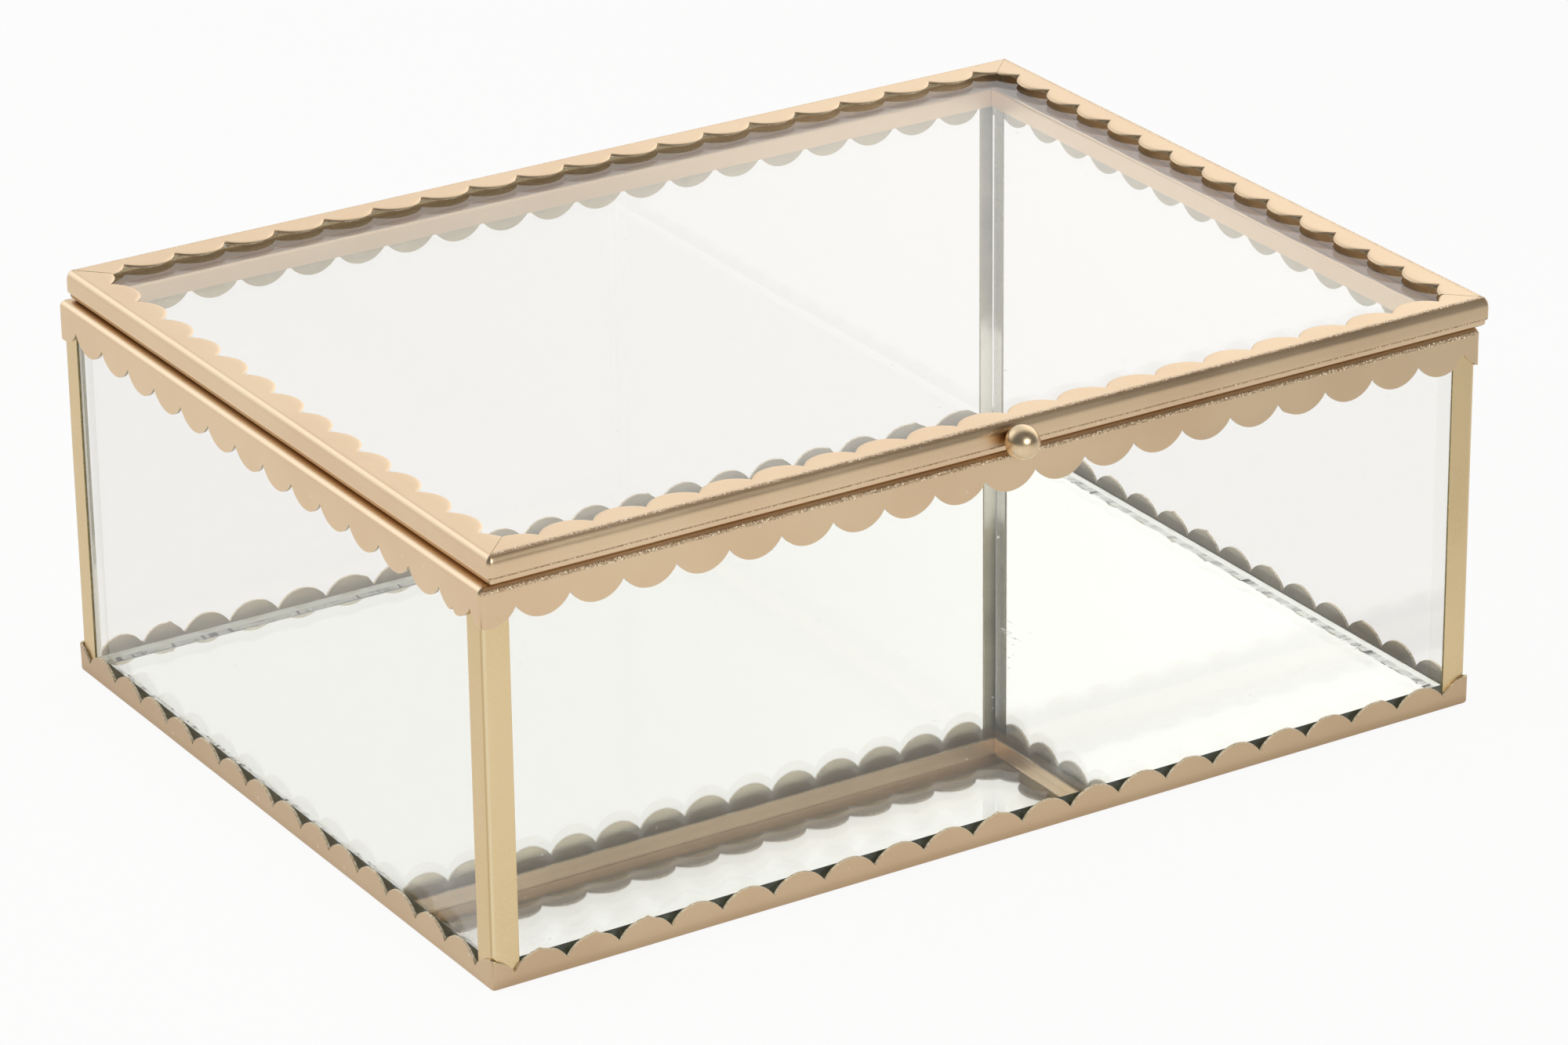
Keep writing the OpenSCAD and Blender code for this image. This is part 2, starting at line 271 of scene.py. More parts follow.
class Finish(Graph):
    """The node tree of one material, with short names for the nodes that finishes share."""

    def __init__(self, name: str) -> None:
        """Starts an empty material.

        Args:
            name: the material's name.
        """
        self.material = bpy.data.materials.new(name)
        self.material.use_nodes = True
        super().__init__(self.material.node_tree)
        self.place = self.coordinates("Object")

    def stretched(self, scale: Point) -> Socket:
        """Object coordinates, scaled on each axis."""
        return self.shader("ShaderNodeMapping", {"Vector": self.place, "Scale": scale})

    def noise(
        self,
        scale: float,
        detail: float = 2.0,
        rough: float = 0.5,
        place: Optional[Socket] = None,
        bend: float = 0.0,
    ) -> Field:
        """Noise from 0 to 1.

        Args:
            scale: its frequency per metre.
            detail: its octaves.
            rough: the weight of the finer octaves.
            place: the coordinates, or the object's own.
            bend: how much it is distorted.

        Returns:
            The noise.
        """
        inputs = {
            "Vector": place or self.place,
            "Scale": scale,
            "Detail": detail,
            "Roughness": rough,
            "Distortion": bend,
        }
        return self.field_of("ShaderNodeTexNoise", None, inputs)

    def specks(self, scale: float, outer: float, inner: float, least: float) -> Field:
        """Soft round specks, one in some of the cells of a Voronoi pattern.

        Args:
            scale: cells per metre.
            outer: distance from a speck's middle at which it fades out, in cells.
            inner: distance up to which it is full.
            least: the share of cells that have none.

        Returns:
            A field from 0 to 1.
        """
        node = self.add("ShaderNodeTexVoronoi", None, {"Vector": self.place, "Scale": scale})
        chance = self.field_of("ShaderNodeSeparateColor", None, {0: node.outputs["Color"]})
        near = Field(self, node.outputs["Distance"]).rise(outer, inner)
        return near * chance.rise(least, least + 0.02)

    def axis(self, letter: str) -> Field:
        """One of the object's coordinates, in metres."""
        return self.part(self.place, letter)

    def joined(self, x: Number, y: Number) -> Socket:
        """A flat vector of two fields or numbers."""
        return self.shader("ShaderNodeCombineXYZ", {0: x, 1: y})

    def mark(self, name: str) -> Field:
        """A number that the mesh carries on its points."""
        return self.field_of("ShaderNodeAttribute", {"attribute_name": name}, None, "Fac")

    def mix(self, factor: Number, first: Tint, second: Tint) -> Socket:
        """Mixes two colours: the factor's 0 gives the first and its 1 the second."""
        inputs = {0: factor, 6: first, 7: second}
        return self.add("ShaderNodeMix", {"data_type": "RGBA"}, inputs).outputs[2]

    def layered(self, colour: Tint, *coats: Tuple[Field, Tint]) -> Tint:
        """Lays coats over a colour.

        Args:
            colour: the lowest colour.
            coats: how much of each coat shows, and its colour, from below upwards.

        Returns:
            The colour on top.
        """
        for factor, coat in coats:
            colour = self.mix(factor, colour, coat)
        return colour

    def bump(
        self, height: Field, depth: float, strength: float, under: Optional[Socket] = None
    ) -> Socket:
        """A normal that follows a height.

        Args:
            height: the height, about 0 to 1.
            depth: how many metres a height of 1 stands for.
            strength: how much of it shows.
            under: a normal below this one.

        Returns:
            The normal.
        """
        inputs: dict = {"Height": height, "Distance": depth, "Strength": strength}
        if under is not None:
            inputs["Normal"] = under
        return self.shader("ShaderNodeBump", inputs)

    def principled(self, **inputs: object) -> Socket:
        """A Principled shader; its sockets are named with an underscore for each space."""
        named = {name.replace("_", " "): value for name, value in inputs.items()}
        return self.shader("ShaderNodeBsdfPrincipled", named)

    def done(self, surface: Socket) -> Material:
        """Joins the surface to the output, and returns the finished material."""
        self.add("ShaderNodeOutputMaterial", None, {"Surface": surface})
        return self.material

    def coated(self, **inputs: object) -> Material:
        """The finished material, with a Principled shader alone."""
        return self.done(self.principled(**inputs))


# --- Finishes ---


@dataclass
class Look:
    """What a brass finish gives its shader, while coats are laid over it."""

    colour: Tint
    rough: Field
    normal: Socket
    metal: Number = 1.0
    glint: Tint = BLACK


@dataclass(frozen=True)
class SatinBrass:
    """Champagne-coloured lacquer on thin sheet: satin, finely grained, rough along its folds, with
    glints, highlights and shade painted into its colour along folds and bends.
    """

    name: str
    pale: Colour
    deep: Colour
    rough: float = 0.34
    grain: float = 0.5
    folded: bool = False
    # drawn: paint a post bend's light and shade into the colour
    drawn: bool = False
    # glint: strength of the painted glints' glow (emission)
    glint: float = 0.34

    def make(self) -> Material:
        """Builds the material.

        Returns:
            The material.
        """
        m = Finish(self.name)
        patches = m.noise(38.0, 3.0, 0.55).rise(0.3, 0.7)
        grain = m.noise(5200.0, 2.0, 0.6)
        orange_peel = m.noise(1500.0)
        colour = m.layered(self.deep, (patches, self.pale), (grain.rise(0.35, 0.75) * 0.16, SHEEN))
        rough = self.rough + (patches - 0.5) * 0.05 + (grain - 0.5) * 0.22 * self.grain
        height = grain * 0.5 * self.grain + orange_peel * 0.5
        look = Look(colour, rough, m.bump(height, 0.000012, 0.9))
        if self.folded:
            self.crack(m, look)
        if self.drawn:
            self.paint_bend_light(m, look)
        dust = m.specks(420.0, 0.16, 0.05, 0.93)
        return m.coated(
            Base_Color=m.mix(dust * 0.5, look.colour, BRASS_DUST),
            Metallic=look.metal,
            Roughness=look.rough,
            Normal=look.normal,
            Emission_Color=look.glint,
            Emission_Strength=self.glint,
        )

    def crack(self, m: Finish, look: Look) -> None:
        """Cracks the lacquer along the creases and paints light and shade into the colour: glints
        in the cracks, shade along the creases, a highlight on the soft folds and the strip's
        painted shade.

        Args:
            m: the material.
            look: what it has so far, changed here.
        """
        crease = m.mark("crease")
        fold = m.mark("fold_mm")
        over = m.joined(m.mark("run_mm"), fold * 0.8)
        crack = m.noise(2.9, 4.0, 0.75, place=over, bend=0.4)
        patchy = m.noise(0.3, 3.0, place=over).rise(0.3, 0.6) * 0.5 + 0.5
        line = abs(fold + crack * 0.3 - 0.15).rise(0.5, 0.2) * crease * patchy
        # Painted glints: white specks in the cracked crease, which also glow by emission
        glint_speck = crack.rise(0.54, 0.6) * line
        # Darker band along the crease, strongest on the front: partly stretched, worn lacquer,
        # partly painted shade of folds that face the dim front
        worn = fold.rise(1.5, 0.5) * fold.rise(-0.15, 0.1) * crease * (0.6 + crack * 0.4)
        # Painted highlight along the soft folds, where the crease is 0
        soft = abs(fold - 0.7).rise(0.75, 0.1) * (1.0 - crease)
        # Coats from below: worn lacquer with painted shade along the crease, cracks, painted
        # glints, painted fold highlight, the strip's painted shade, worn edges
        look.colour = m.layered(
            look.colour,
            (worn * 0.42, WORN_AND_SHADED_BRASS),
            (line * crack.rise(0.56, 0.44) * 0.62, CRACK_BROWN),
            (glint_speck * 0.9, GLINT_SPECK_WHITE),
            (soft * 0.55, PAINTED_FOLD_HIGHLIGHT),
            (m.mark("grime"), PAINTED_SHADE_BROWN),
            (m.mark("edge_mm").rise(0.16, 0.04) * 0.4, BARE_METAL),
        )
        # Painted glints lose their metal and glow, so that they show white
        look.metal = 1.0 - glint_speck * 0.85
        look.glint = m.mix(glint_speck, BLACK, GLINT)
        look.rough = look.rough + worn * 0.06 - glint_speck * 0.12 - soft * 0.04
        look.normal = m.bump(crack * line, 0.00014, 1.0, look.normal)

    def paint_bend_light(self, m: Finish, look: Look) -> None:
        """Paints a bend's light and shade into the colour: a shaded line on one side of it, a
        highlight line on the other, and shade over the leg on the shaded side.

        Args:
            m: the material.
            look: what it has so far, changed here.
        """
        turn = m.mark("turn_mm")
        look.colour = m.layered(
            look.colour,
            (abs(turn + 0.55).rise(0.4, 0.08) * 0.34, PAINTED_SHADE_LINE),
            (abs(turn - 0.2).rise(0.42, 0.1) * 0.5, PAINTED_HIGHLIGHT_LINE),
            (turn.rise(-0.2, -0.9) * 0.14, SHADED_LEG),
        )


@dataclass(frozen=True)
class PlainBack:
    """The back of the strip: thin grey-gold wash over steel, milky low down where glue spread, with
    a painted glow there.
    """

    name: str
    pale: Colour
    deep: Colour
    glued: bool = False
    metal: float = 0.85
    # glow: strength of the painted glow over the glue
    glow: float = 0.4

    def make(self) -> Material:
        """Builds the material.

        Returns:
            The material.
        """
        m = Finish(self.name)
        cloud = m.noise(90.0, 4.0, 0.6).rise(0.3, 0.72)
        grain = m.noise(3800.0)
        drawn = m.noise(900.0, 3.0, 0.6, place=m.stretched((0.06, 0.06, 1.0)))
        lines = (drawn.rise(0.45, 0.8) * 0.25, dimmed(self.deep, 0.6))
        colour = m.layered(self.deep, (cloud, self.pale), lines)
        metal: Number = self.metal
        milky: dict = {}
        if self.glued:
            smeared = m.noise(160.0, 3.0).rise(0.3, 0.7)
            glue = (m.axis("Z") + smeared * 0.004).rise(0.028, 0.02)
            colour = m.mix(glue, colour, GLUE)
            metal = self.metal - glue * self.metal
            # Painted glow: the glue glows by emission, as if lit
            lit = m.mix(glue, BLACK, GLUE_GLOW)
            milky = {"Emission_Color": lit, "Emission_Strength": self.glow}
        return m.coated(
            Base_Color=colour,
            Metallic=metal,
            Roughness=0.42 + grain * 0.12 + cloud * 0.05,
            Normal=m.bump(grain * 0.4 + drawn * 0.6, 0.00002, 0.8),
            **milky,
        )


@dataclass(frozen=True)
class CutEdge:
    """The sheared edge of the strip: bare metal, half bright and half torn."""

    name: str
    torn: Colour
    bright: Colour

    def make(self) -> Material:
        """Builds the material.

        Returns:
            The material.
        """
        m = Finish(self.name)
        torn = m.noise(2400.0, 3.0, 0.6, place=m.stretched((1.0, 1.0, 0.5)))
        return m.coated(
            Base_Color=m.mix(torn.rise(0.4, 0.62), self.torn, self.bright),
            Metallic=0.5,
            Roughness=0.3 + torn * 0.25,
            Normal=m.bump(torn, 0.00004, 0.8),
        )


@dataclass(frozen=True)
class TurnedBrass:
    """The knob's brighter metal, turned and tumbled, with clouds and hairline scratches."""

    name: str
    pale: Colour
    deep: Colour

    def make(self) -> Material:
        """Builds the material.

        Returns:
            The material.
        """
        m = Finish(self.name)
        cloud = m.noise(420.0, 3.0).rise(0.3, 0.7)
        fine = m.noise(7000.0)
        hair = m.noise(2600.0, 3.0, 0.7, place=m.stretched((1.0, 0.2, 1.0)), bend=0.8)
        scratch = abs(hair - 0.5).rise(0.014, 0.004)
        return m.coated(
            Base_Color=m.layered(self.deep, (cloud, self.pale), (scratch * 0.3, SCRATCH)),
            Metallic=1.0,
            Roughness=0.24 + fine * 0.05 + cloud * 0.03 + scratch * 0.08,
            Normal=m.bump(fine * 0.5 + scratch * 0.5, 0.000004, 0.7),
        )


@dataclass(frozen=True)
class DrawnSteel:
    """Bright drawn wire for the hinge pins, with fine lines along its length."""

    name: str

    def make(self) -> Material:
        """Builds the material.

        Returns:
            The material.
        """
        m = Finish(self.name)
        lines = m.noise(5200.0, 3.0, 0.6, place=m.stretched((0.04, 1.0, 1.0)))
        stain = m.noise(700.0, 3.0).rise(0.5, 0.75)
        return m.coated(
            Base_Color=m.mix(stain * 0.5, STEEL, STEEL_STAIN),
            Metallic=1.0,
            Roughness=0.22 + lines * 0.14 + stain * 0.15,
            Normal=m.bump(lines, 0.000008, 0.8),
        )


@dataclass(frozen=True)
class ClearGlass:
    """Float glass that lamps shine through, with a little dust and a smear or two."""

    name: str
    tint: Colour
    ior: float = 1.5

    def make(self) -> Material:
        """Builds the material.

        Returns:
            The material.
        """
        m = Finish(self.name)
        dust = m.specks(260.0, 0.1, 0.03, 0.9)
        smear = m.noise(24.0, 4.0, 0.6, bend=1.2).rise(0.62, 0.8)
        smeared = (smear * 0.35, dimmed(self.tint, 0.965))
        glass = m.principled(
            Base_Color=m.layered(self.tint, (dust * 0.5, GLASS_DUST), smeared),
            Transmission_Weight=1.0,
            IOR=self.ior,
            Roughness=(dust * 0.2 + smear * 0.012).both(0.3),
            Normal=m.bump(m.noise(14.0, 1.0), 0.00006, 0.35),
        )
        through = m.shader("ShaderNodeBsdfTransparent", {"Color": self.tint})
        return m.done(m.mixed(m.ray("Is Shadow Ray"), glass, through))


@dataclass(frozen=True)
class GroundEdge:
    """The cut edge of a pane: green from outside, and milky with a painted glow where it is seen
    through the glass.
    """

    name: str
    pale: Colour
    deep: Colour
    milky: Colour
    # glow: strength of the painted glow of the edge seen from inside
    glow: float
    dull: Optional[Colour] = None
    dull_x: float = 95.2

    def make(self) -> Material:
        """Builds the material; where it has a dull colour, its colour and painted glow stay dull
        except at its right end.

        Returns:
            The material.
        """
        m = Finish(self.name)
        ripple = m.noise(700.0, 3.0, 0.6)
        grit = m.noise(5000.0)
        outside = m.principled(
            Base_Color=m.mix(ripple.rise(0.35, 0.72), self.deep, self.pale),
            Roughness=0.24 + grit * 0.2,
            IOR=1.5,
            Normal=m.bump(grit * 0.6 + ripple * 0.4, 0.00003, 0.7),
        )
        # The milky colour is also the painted glow's colour; a dull colour dims both away from the
        # right end
        milky: Tint = self.milky
        if self.dull:
            bright = m.axis("X").rise(self.dull_x * MM, (self.dull_x + 0.5) * MM)
            milky = m.mix(bright, self.dull, self.milky)
        cloudy = m.mix(ripple.rise(0.3, 0.7) * 0.1, milky, CLOUDED)
        # Seen from inside, the edge glows by emission: a painted glow
        inside = m.principled(
            Base_Color=cloudy,
            Roughness=0.6 + grit * 0.2,
            Specular_IOR_Level=0.0,
            Emission_Color=cloudy,
            Emission_Strength=self.glow,
        )
        back = m.field_of("ShaderNodeNewGeometry", output="Backfacing")
        return m.done(m.mixed(back, outside, inside))


@dataclass(frozen=True)
class ArrisedEdge:
    """A pane's edge that is only rubbed smooth, so that light still passes through it."""

    name: str
    tint: Colour

    def make(self) -> Material:
        """Builds the material.

        Returns:
            The material.
        """
        m = Finish(self.name)
        ripple = m.noise(500.0, 3.0, 0.6)
        return m.coated(
            Base_Color=m.mix(ripple.rise(0.4, 0.7) * 0.2, self.tint, RUBBED),
            Transmission_Weight=1.0,
            IOR=1.5,
            Roughness=0.05 + ripple * 0.1,
            Normal=m.bump(m.noise(5000.0), 0.00001, 0.5),
        )


@dataclass(frozen=True)
class Silvering:
    """The mirror's silver, worn through in specks along its edges and scratched in a few places."""

    name: str
    silver: Colour
    half_x: float = 95.9
    half_y: float = 70.9

    def make(self) -> Material:
        """Builds the material.

        Returns:
            The material.
        """
        m = Finish(self.name)
        x, y = m.axis("X"), m.axis("Y")
        near = (self.half_x * MM - abs(x)).both(self.half_y * MM - abs(y))
        right = (self.half_x * MM - x).rise(0.0028, 0.0006) * y.rise(-0.02, -0.032)
        fleck = m.noise(1500.0, 4.0, 0.7, bend=0.4)
        worn = (near.rise(0.0012, 0.0) * 0.15).either(right) * fleck.rise(0.56, 0.64)
        hair = m.noise(300.0, 2.0, 0.6, place=m.stretched((1.0, 0.12, 1.0)), bend=0.5)
        where = m.noise(30.0).rise(0.68, 0.76) * 0.6
        scratch = abs(hair - 0.5).rise(0.006, 0.001) * where
        lost = worn.either(scratch * 0.8)
        return m.coated(
            Base_Color=m.mix(lost, self.silver, BARE_BACKING),
            Metallic=1.0 - lost * 0.7,
            Roughness=0.012 + lost * 0.4,
        )


PANE_GREEN = (srgb(158, 166, 150), srgb(112, 122, 106))
MIRROR_GREEN = (srgb(66, 80, 68), srgb(34, 44, 36))


class Palette(Enum):
    """Every finish of the box, made once and shared by its pieces."""

    RIM = SatinBrass("satin rim brass", srgb(243, 215, 177), srgb(236, 205, 166), folded=True)
    POST = SatinBrass(
        "satin post brass", srgb(246, 220, 171), srgb(239, 212, 162), 0.3, 0.7, drawn=True
    )
    BACK = PlainBack("strip back", srgb(253, 241, 212), srgb(240, 226, 196))
    POST_BACK = PlainBack("post back", srgb(236, 229, 203), srgb(212, 206, 180), glued=True)
    CUT = CutEdge("strip cut edge", srgb(214, 192, 154), srgb(255, 244, 222))
    POST_CUT = CutEdge("post cut edge", srgb(150, 138, 96), srgb(178, 164, 120))
    KNOB = TurnedBrass("turned knob brass", srgb(246, 222, 184), srgb(236, 208, 168))
    HINGE = SatinBrass("satin hinge brass", srgb(226, 200, 152), srgb(206, 178, 130), 0.28, 0.8)
    PIN = DrawnSteel("drawn pin steel")
    GLASS = ClearGlass("pane glass", (0.97, 0.965, 0.95))
    LID_GLASS = ClearGlass("lid pane glass", (0.96, 0.955, 0.935))
    MIRROR_GLASS = ClearGlass("mirror glass", (0.985, 0.995, 0.98))
    # Pane edges: green outside; milky inside, with a painted glow whose strength is the last number
    EDGE = GroundEdge("pane edge", *PANE_GREEN, srgb(248, 245, 238), 0.24)
    RUBBED_EDGE = ArrisedEdge("rubbed pane edge", srgb(246, 248, 242))
    LID_EDGE = GroundEdge("lid pane edge", *PANE_GREEN, srgb(238, 226, 208), 0.3)
    MIRROR_EDGE = GroundEdge(
        "mirror edge", *MIRROR_GREEN, srgb(252, 254, 250), 0.45, srgb(172, 170, 158)
    )
    SILVER = Silvering("mirror silver", srgb(252, 253, 251))

    def material(self) -> Material:
        """This finish's material, built the first time that it is asked for.

        Returns:
            The material.
        """
        if self not in MADE:
            MADE[self] = self.value.make()
        return MADE[self]


MADE: Dict[Palette, Material] = {}


# --- Mesh helpers ---


def in_scene(name: str, data: bpy.types.ID) -> Piece:
    """A new object of the scene, which shows a mesh, a lamp or a camera.

    Args:
        name: its name.
        data: what it shows.

    Returns:
        The object.
    """
    piece = bpy.data.objects.new(name, data)
    bpy.context.scene.collection.objects.link(piece)
    return piece


def new_piece(name: str, bm: BMesh, finishes: Sequence[Palette], smooth: bool = True) -> Piece:
    """Turns a bmesh into an object of the scene.

    Args:
        name: the object's name.
        bm: the mesh, freed here.
        finishes: one for each material number of its faces.
        smooth: whether its faces are shaded smooth.

    Returns:
        The object, at the origin.
    """
    for face in bm.faces:
        face.smooth = smooth
    mesh = bpy.data.meshes.new(name)
    bm.to_mesh(mesh)
    bm.free()
    for finish in finishes:
        mesh.materials.append(finish.material())
    return in_scene(name, mesh)


def add_sheet(piece: Piece, thickness: float) -> None:
    """Gives a surface a sheet's thickness, with a back and a cut edge of their own finish.

    Args:
        piece: the piece, whose second and third materials are its back and its edge.
        thickness: the sheet's thickness in millimetres.
    """
    wall = piece.modifiers.new("sheet", "SOLIDIFY")
    wall.thickness = thickness * MM
    wall.offset = -1.0
    wall.use_even_offset = True
    wall.use_rim = True
    wall.material_offset = 1
    wall.material_offset_rim = 2


def add_bevel(piece: Piece, width: float, angle: float = 50.0) -> None:
    """Rounds a piece's sharp edges with a live modifier.

    Args:
        piece: the piece.
        width: the bevel's width in millimetres.
        angle: the least angle of an edge that it rounds, in degrees.
    """
    bevel = piece.modifiers.new("rounded edges", "BEVEL")
    bevel.width = width * MM
    bevel.segments = 2
    bevel.limit_method = "ANGLE"
    bevel.angle_limit = math.radians(angle)
    bevel.harden_normals = True
    bevel.use_clamp_overlap = True


def report(piece: Piece) -> None:
    """Logs a finished piece and its number of faces."""
    LOG.info("%s: %d faces before its modifiers", piece.name, len(piece.data.polygons))


# --- The folded strips ---


@dataclass(frozen=True)
class ScallopWave:
    """The edge of the strips: arcs of a circle that meet in cusps."""

    pitch: float = 10.0
    rise: float = 2.9

    def at(self, run: float) -> float:
        """How far the edge stands out from its cusps.

        Args:
            run: distance along the strip from the middle of a scallop.

        Returns:
            From 0 at a cusp to the rise at the middle of a scallop.
        """
        radius = (self.pitch**2 / 4 + self.rise**2) / (2 * self.rise)
        x = run - self.pitch * round(run / self.pitch)
        return self.rise - radius + math.sqrt(radius * radius - x * x)


FAR = 9.0  # a distance from a fold or an edge at which it has no effect on the finish
CLEAN: Four = (0.0, 0.0, 0.0, 0.0)
WELD = 0.004  # points nearer to each other than this become one
SLIVER = 0.002  # edges shorter than this are dissolved
NOTCH_CLEAR = 0.12  # no column lies nearer to a notch's end
MITRE_START = 4.0  # how far before the mitre the search for its point begins
MITRE_HALVINGS = 26
SWAY_RATE = 0.045  # steps through the sway's noise per millimetre
SWAY_SIDE = 7.3  # how far apart the sides lie in that noise
SWAY_FADE = 6.0  # length at a side's ends over which the sway fades out
SIDE_RUN = 211.0  # run from one side to the next, so that their cracks differ
SHADE_FADE = 0.4  # share of the left side's painted shade that is gone at its far end
UPRIGHT = 0.3  # how far the normal of an upright face may lean up or down
BAND_DEPTH = 1.5  # how far from the front an upright face still belongs to the band


class Side(IntEnum):
    """The four sides, in order round the box."""

    FRONT = 0
    RIGHT = 1
    BACK = 2
    LEFT = 3


@dataclass(frozen=True)
class Row:
    """One line of points along a strip's section, which may follow the scallops."""

    depth: float
    height: float
    depth_wave: float = 0.0
    height_wave: float = 0.0
    free: float = 0.0
    fold: float = FAR
    edge: float = FAR
    edge_wave: float = 0.0
    # grime: per side, how much painted shade darkens the row
    grime: Four = CLEAN


@dataclass(frozen=True)
class Flaw:
    """A burr, nick or dent of a strip's edge: its side, place along it, height and width."""

    side: Side
    run: float
    height: float
    width: float


@dataclass
class FoldedStrip:
    """A strip with one scalloped edge, folded over the four sides of the box."""

    name: str
    body: str
    node: str
    slot: str = "rim_brass"
    length: float = 200.0
    width: float = 150.0
    centre: Pair = (0.0, 0.0)
    thickness: float = 0.5
    bend: float = 1.0
    bend_parts: int = 5
    mitre_gaps: Four = (0.1, 0.1, 0.1, 0.1)
    phase: float = 0.0
    drift: Four = CLEAN
    # crease: per side, how much the crease cracks and carries painted glints and painted shade;
    # where it is 0, the soft folds get a painted highlight
    crease: Four = (1.0, 0.5, 0.3, 0.0)
    settle: float = 9.0
    steps: int = 16
    wave: ScallopWave = field(default_factory=ScallopWave)
    flaws: Tuple[Flaw, ...] = ()
    seed: int = 1
    lift: float = 0.12
    sway: float = 0.05
    crease_at: float = 0.5
    crease_way: float = 1.0
    collar: float = 0.7

    def rows(self) -> List[Row]:
        """The section, from one edge of the strip to the other."""
        raise NotImplementedError

    def notches(self) -> List[Tuple[Side, float, float]]:
        """Openings of the strip: side, and where each begins and ends along it."""
        return []

    def painted_shadow(self, side: Side, place: float, row: Row) -> float:
        """How much painted shadow darkens the strip at one spot, from 0 to 1."""
        return 0.0

    def in_notch(self, depth: float, height: float) -> bool:
        """Whether a point of the section lies in the height and depth of the notches."""
        return False

    def fold_rows(self, radius: float, start: float, end: float, at: Pair, parts: int) -> List[Row]:
        """Rows round a fold.

        Args:
            radius: the fold's outer radius.
            start: angle of its first row, in degrees from the outward side.
            end: angle of its last row.
            at: depth and height of the fold's centre.
            parts: how many faces go round it.

        Returns:
            The rows.
        """
        made = []
        for part in range(parts + 1):
            share = part / parts
            angle = math.radians(start + (end - start) * share)
            away = (share - self.crease_at) * radius * math.radians(abs(end - start))
            depth, height = radius * math.cos(angle), radius * math.sin(angle)
            made.append(Row(at[0] - depth, at[1] + height, fold=away * self.crease_way))
        return made

    def tip(self, part: float, root: Pair, way: Pair, free: float = 0.0, fold: float = FAR) -> Row:
        """A row of the scalloped edge.

        Args:
            part: 0 at the root of the scallops and 1 at the cut.
            root: depth and height of the root.
            way: the way to the cut, as steps in depth and height.
            free: how far the row follows the scallops that stand off.
            fold: its distance from the fold.

        Returns:
            The row.
        """
        out, left = self.collar * part, 1 - part
        depth, height = root[0] + way[0] * out, root[1] + way[1] * out
        waves = (way[0] * part, way[1] * part)
        return Row(depth, height, *waves, free, fold, self.collar * left, left)

    def size(self, side: Side) -> Pair:
        """A side's length, and how far the box goes across from it."""
        return (self.length, self.width) if side % 2 == 0 else (self.width, self.length)

    def columns(self, side: Side) -> List[float]:
        """Where the points lie along one side, cusps and corner bends among them.

        Args:
            side: the side.

        Returns:
            Their distances from the side's middle.
        """
        length = self.size(side)[0]
        half = length / 2
        step = self.wave.pitch / self.steps
        first = -half + (self.phase + self.drift[side] + self.wave.pitch / 2) % step
        places = [first + i * step for i in range(int(length / step) + 1)]
        places = [a for a in places if abs(a) < half - self.bend - 0.15 * step]
        bends = [self.bend * i / self.bend_parts for i in range(self.bend_parts + 1)]
        places += [half - b for b in bends] + [b - half for b in bends]
        for where, begin, end in self.notches():
            if where == side:
                places = [a for a in places if min(abs(a - begin), abs(a - end)) > NOTCH_CLEAR]
                places += [begin, end]
        return sorted(places)

    def along(self, side: Side, place: float, length: float) -> float:
        """Distance along the wave at a place of a side, whose own drift fades at its ends.

        Args:
            side: the side.
            place: the distance from the side's middle.
            length: the side's length.

        Returns:
            The distance along the wave.
        """
        inside = min(1.0, max(0.0, (length / 2 - abs(place)) / self.settle))
        inside = inside * inside * (3.0 - 2.0 * inside)
        return place + length / 2 - self.phase - self.drift[side] * inside

    def edge_height(self, side: Side, place: float, length: float) -> float:
        """How far the cut edge stands out at a place of a side, flaws included.

        Args:
            side: the side.
            place: the distance from the side's middle.
            length: the side's length.

        Returns:
            The distance from the cusps' line.
        """
        height = self.wave.at(self.along(side, place, length))
        for flaw in self.flaws:
            if flaw.side == side:
                height += flaw.height * math.exp(-(((place - flaw.run) / flaw.width) ** 2))
        return height

    def point(self, side: Side, place: float, row: Row, flap: float) -> Vector:
        """One point of the strip.

        Args:
            side: the side.
            place: where it lies along the side.
            row: its row of the section.
            flap: how far the scallops of this place stand off, at their tips.

        Returns:
            The point in metres.
        """
        length, across = self.size(side)
        half = length / 2
        sign = math.copysign(1.0, place)
        run = abs(place)

        def reach(at: float) -> Pair:
            """Depth and height of the row, at this distance from the side's middle."""
            out = self.edge_height(side, sign * at, length)
            return row.depth + row.depth_wave * out, row.height + row.height_wave * out

        depth, height = reach(run)
        if depth < self.bend:
            if run > half - self.bend:  # round the corner's bend
                angle = (run - (half - self.bend)) / self.bend * math.pi / 4
                radius = self.bend - depth
                run = half - self.bend + radius * math.sin(angle)
                depth = self.bend - radius * math.cos(angle)
        else:  # up to the mitre, whose place on the scalloped edge is found by halving
            low, high = half - depth - MITRE_START, run
            gap = self.mitre_gaps[(side + (place > 0)) % len(Side)] / 2
            if high > half - depth - gap:
                for _ in range(MITRE_HALVINGS):
                    middle = (low + high) / 2
                    depth, height = reach(middle)
                    if middle > half - depth - gap:
                        high = middle
                    else:
                        low = middle
                run = low
                depth, height = reach(run)
        spot = Vector((sign * run * SWAY_RATE, side * SWAY_SIDE, self.seed))
        fade = min(1.0, (half - abs(run)) / SWAY_FADE)
        depth += noise.noise(spot) * self.sway * fade - flap * row.free
        local = Vector((sign * run, depth - across / 2, height))
        turned = Matrix.Rotation(side * math.pi / 2, 3, "Z") @ local
        turned.x += self.centre[0]
        turned.y += self.centre[1]
        return turned * MM

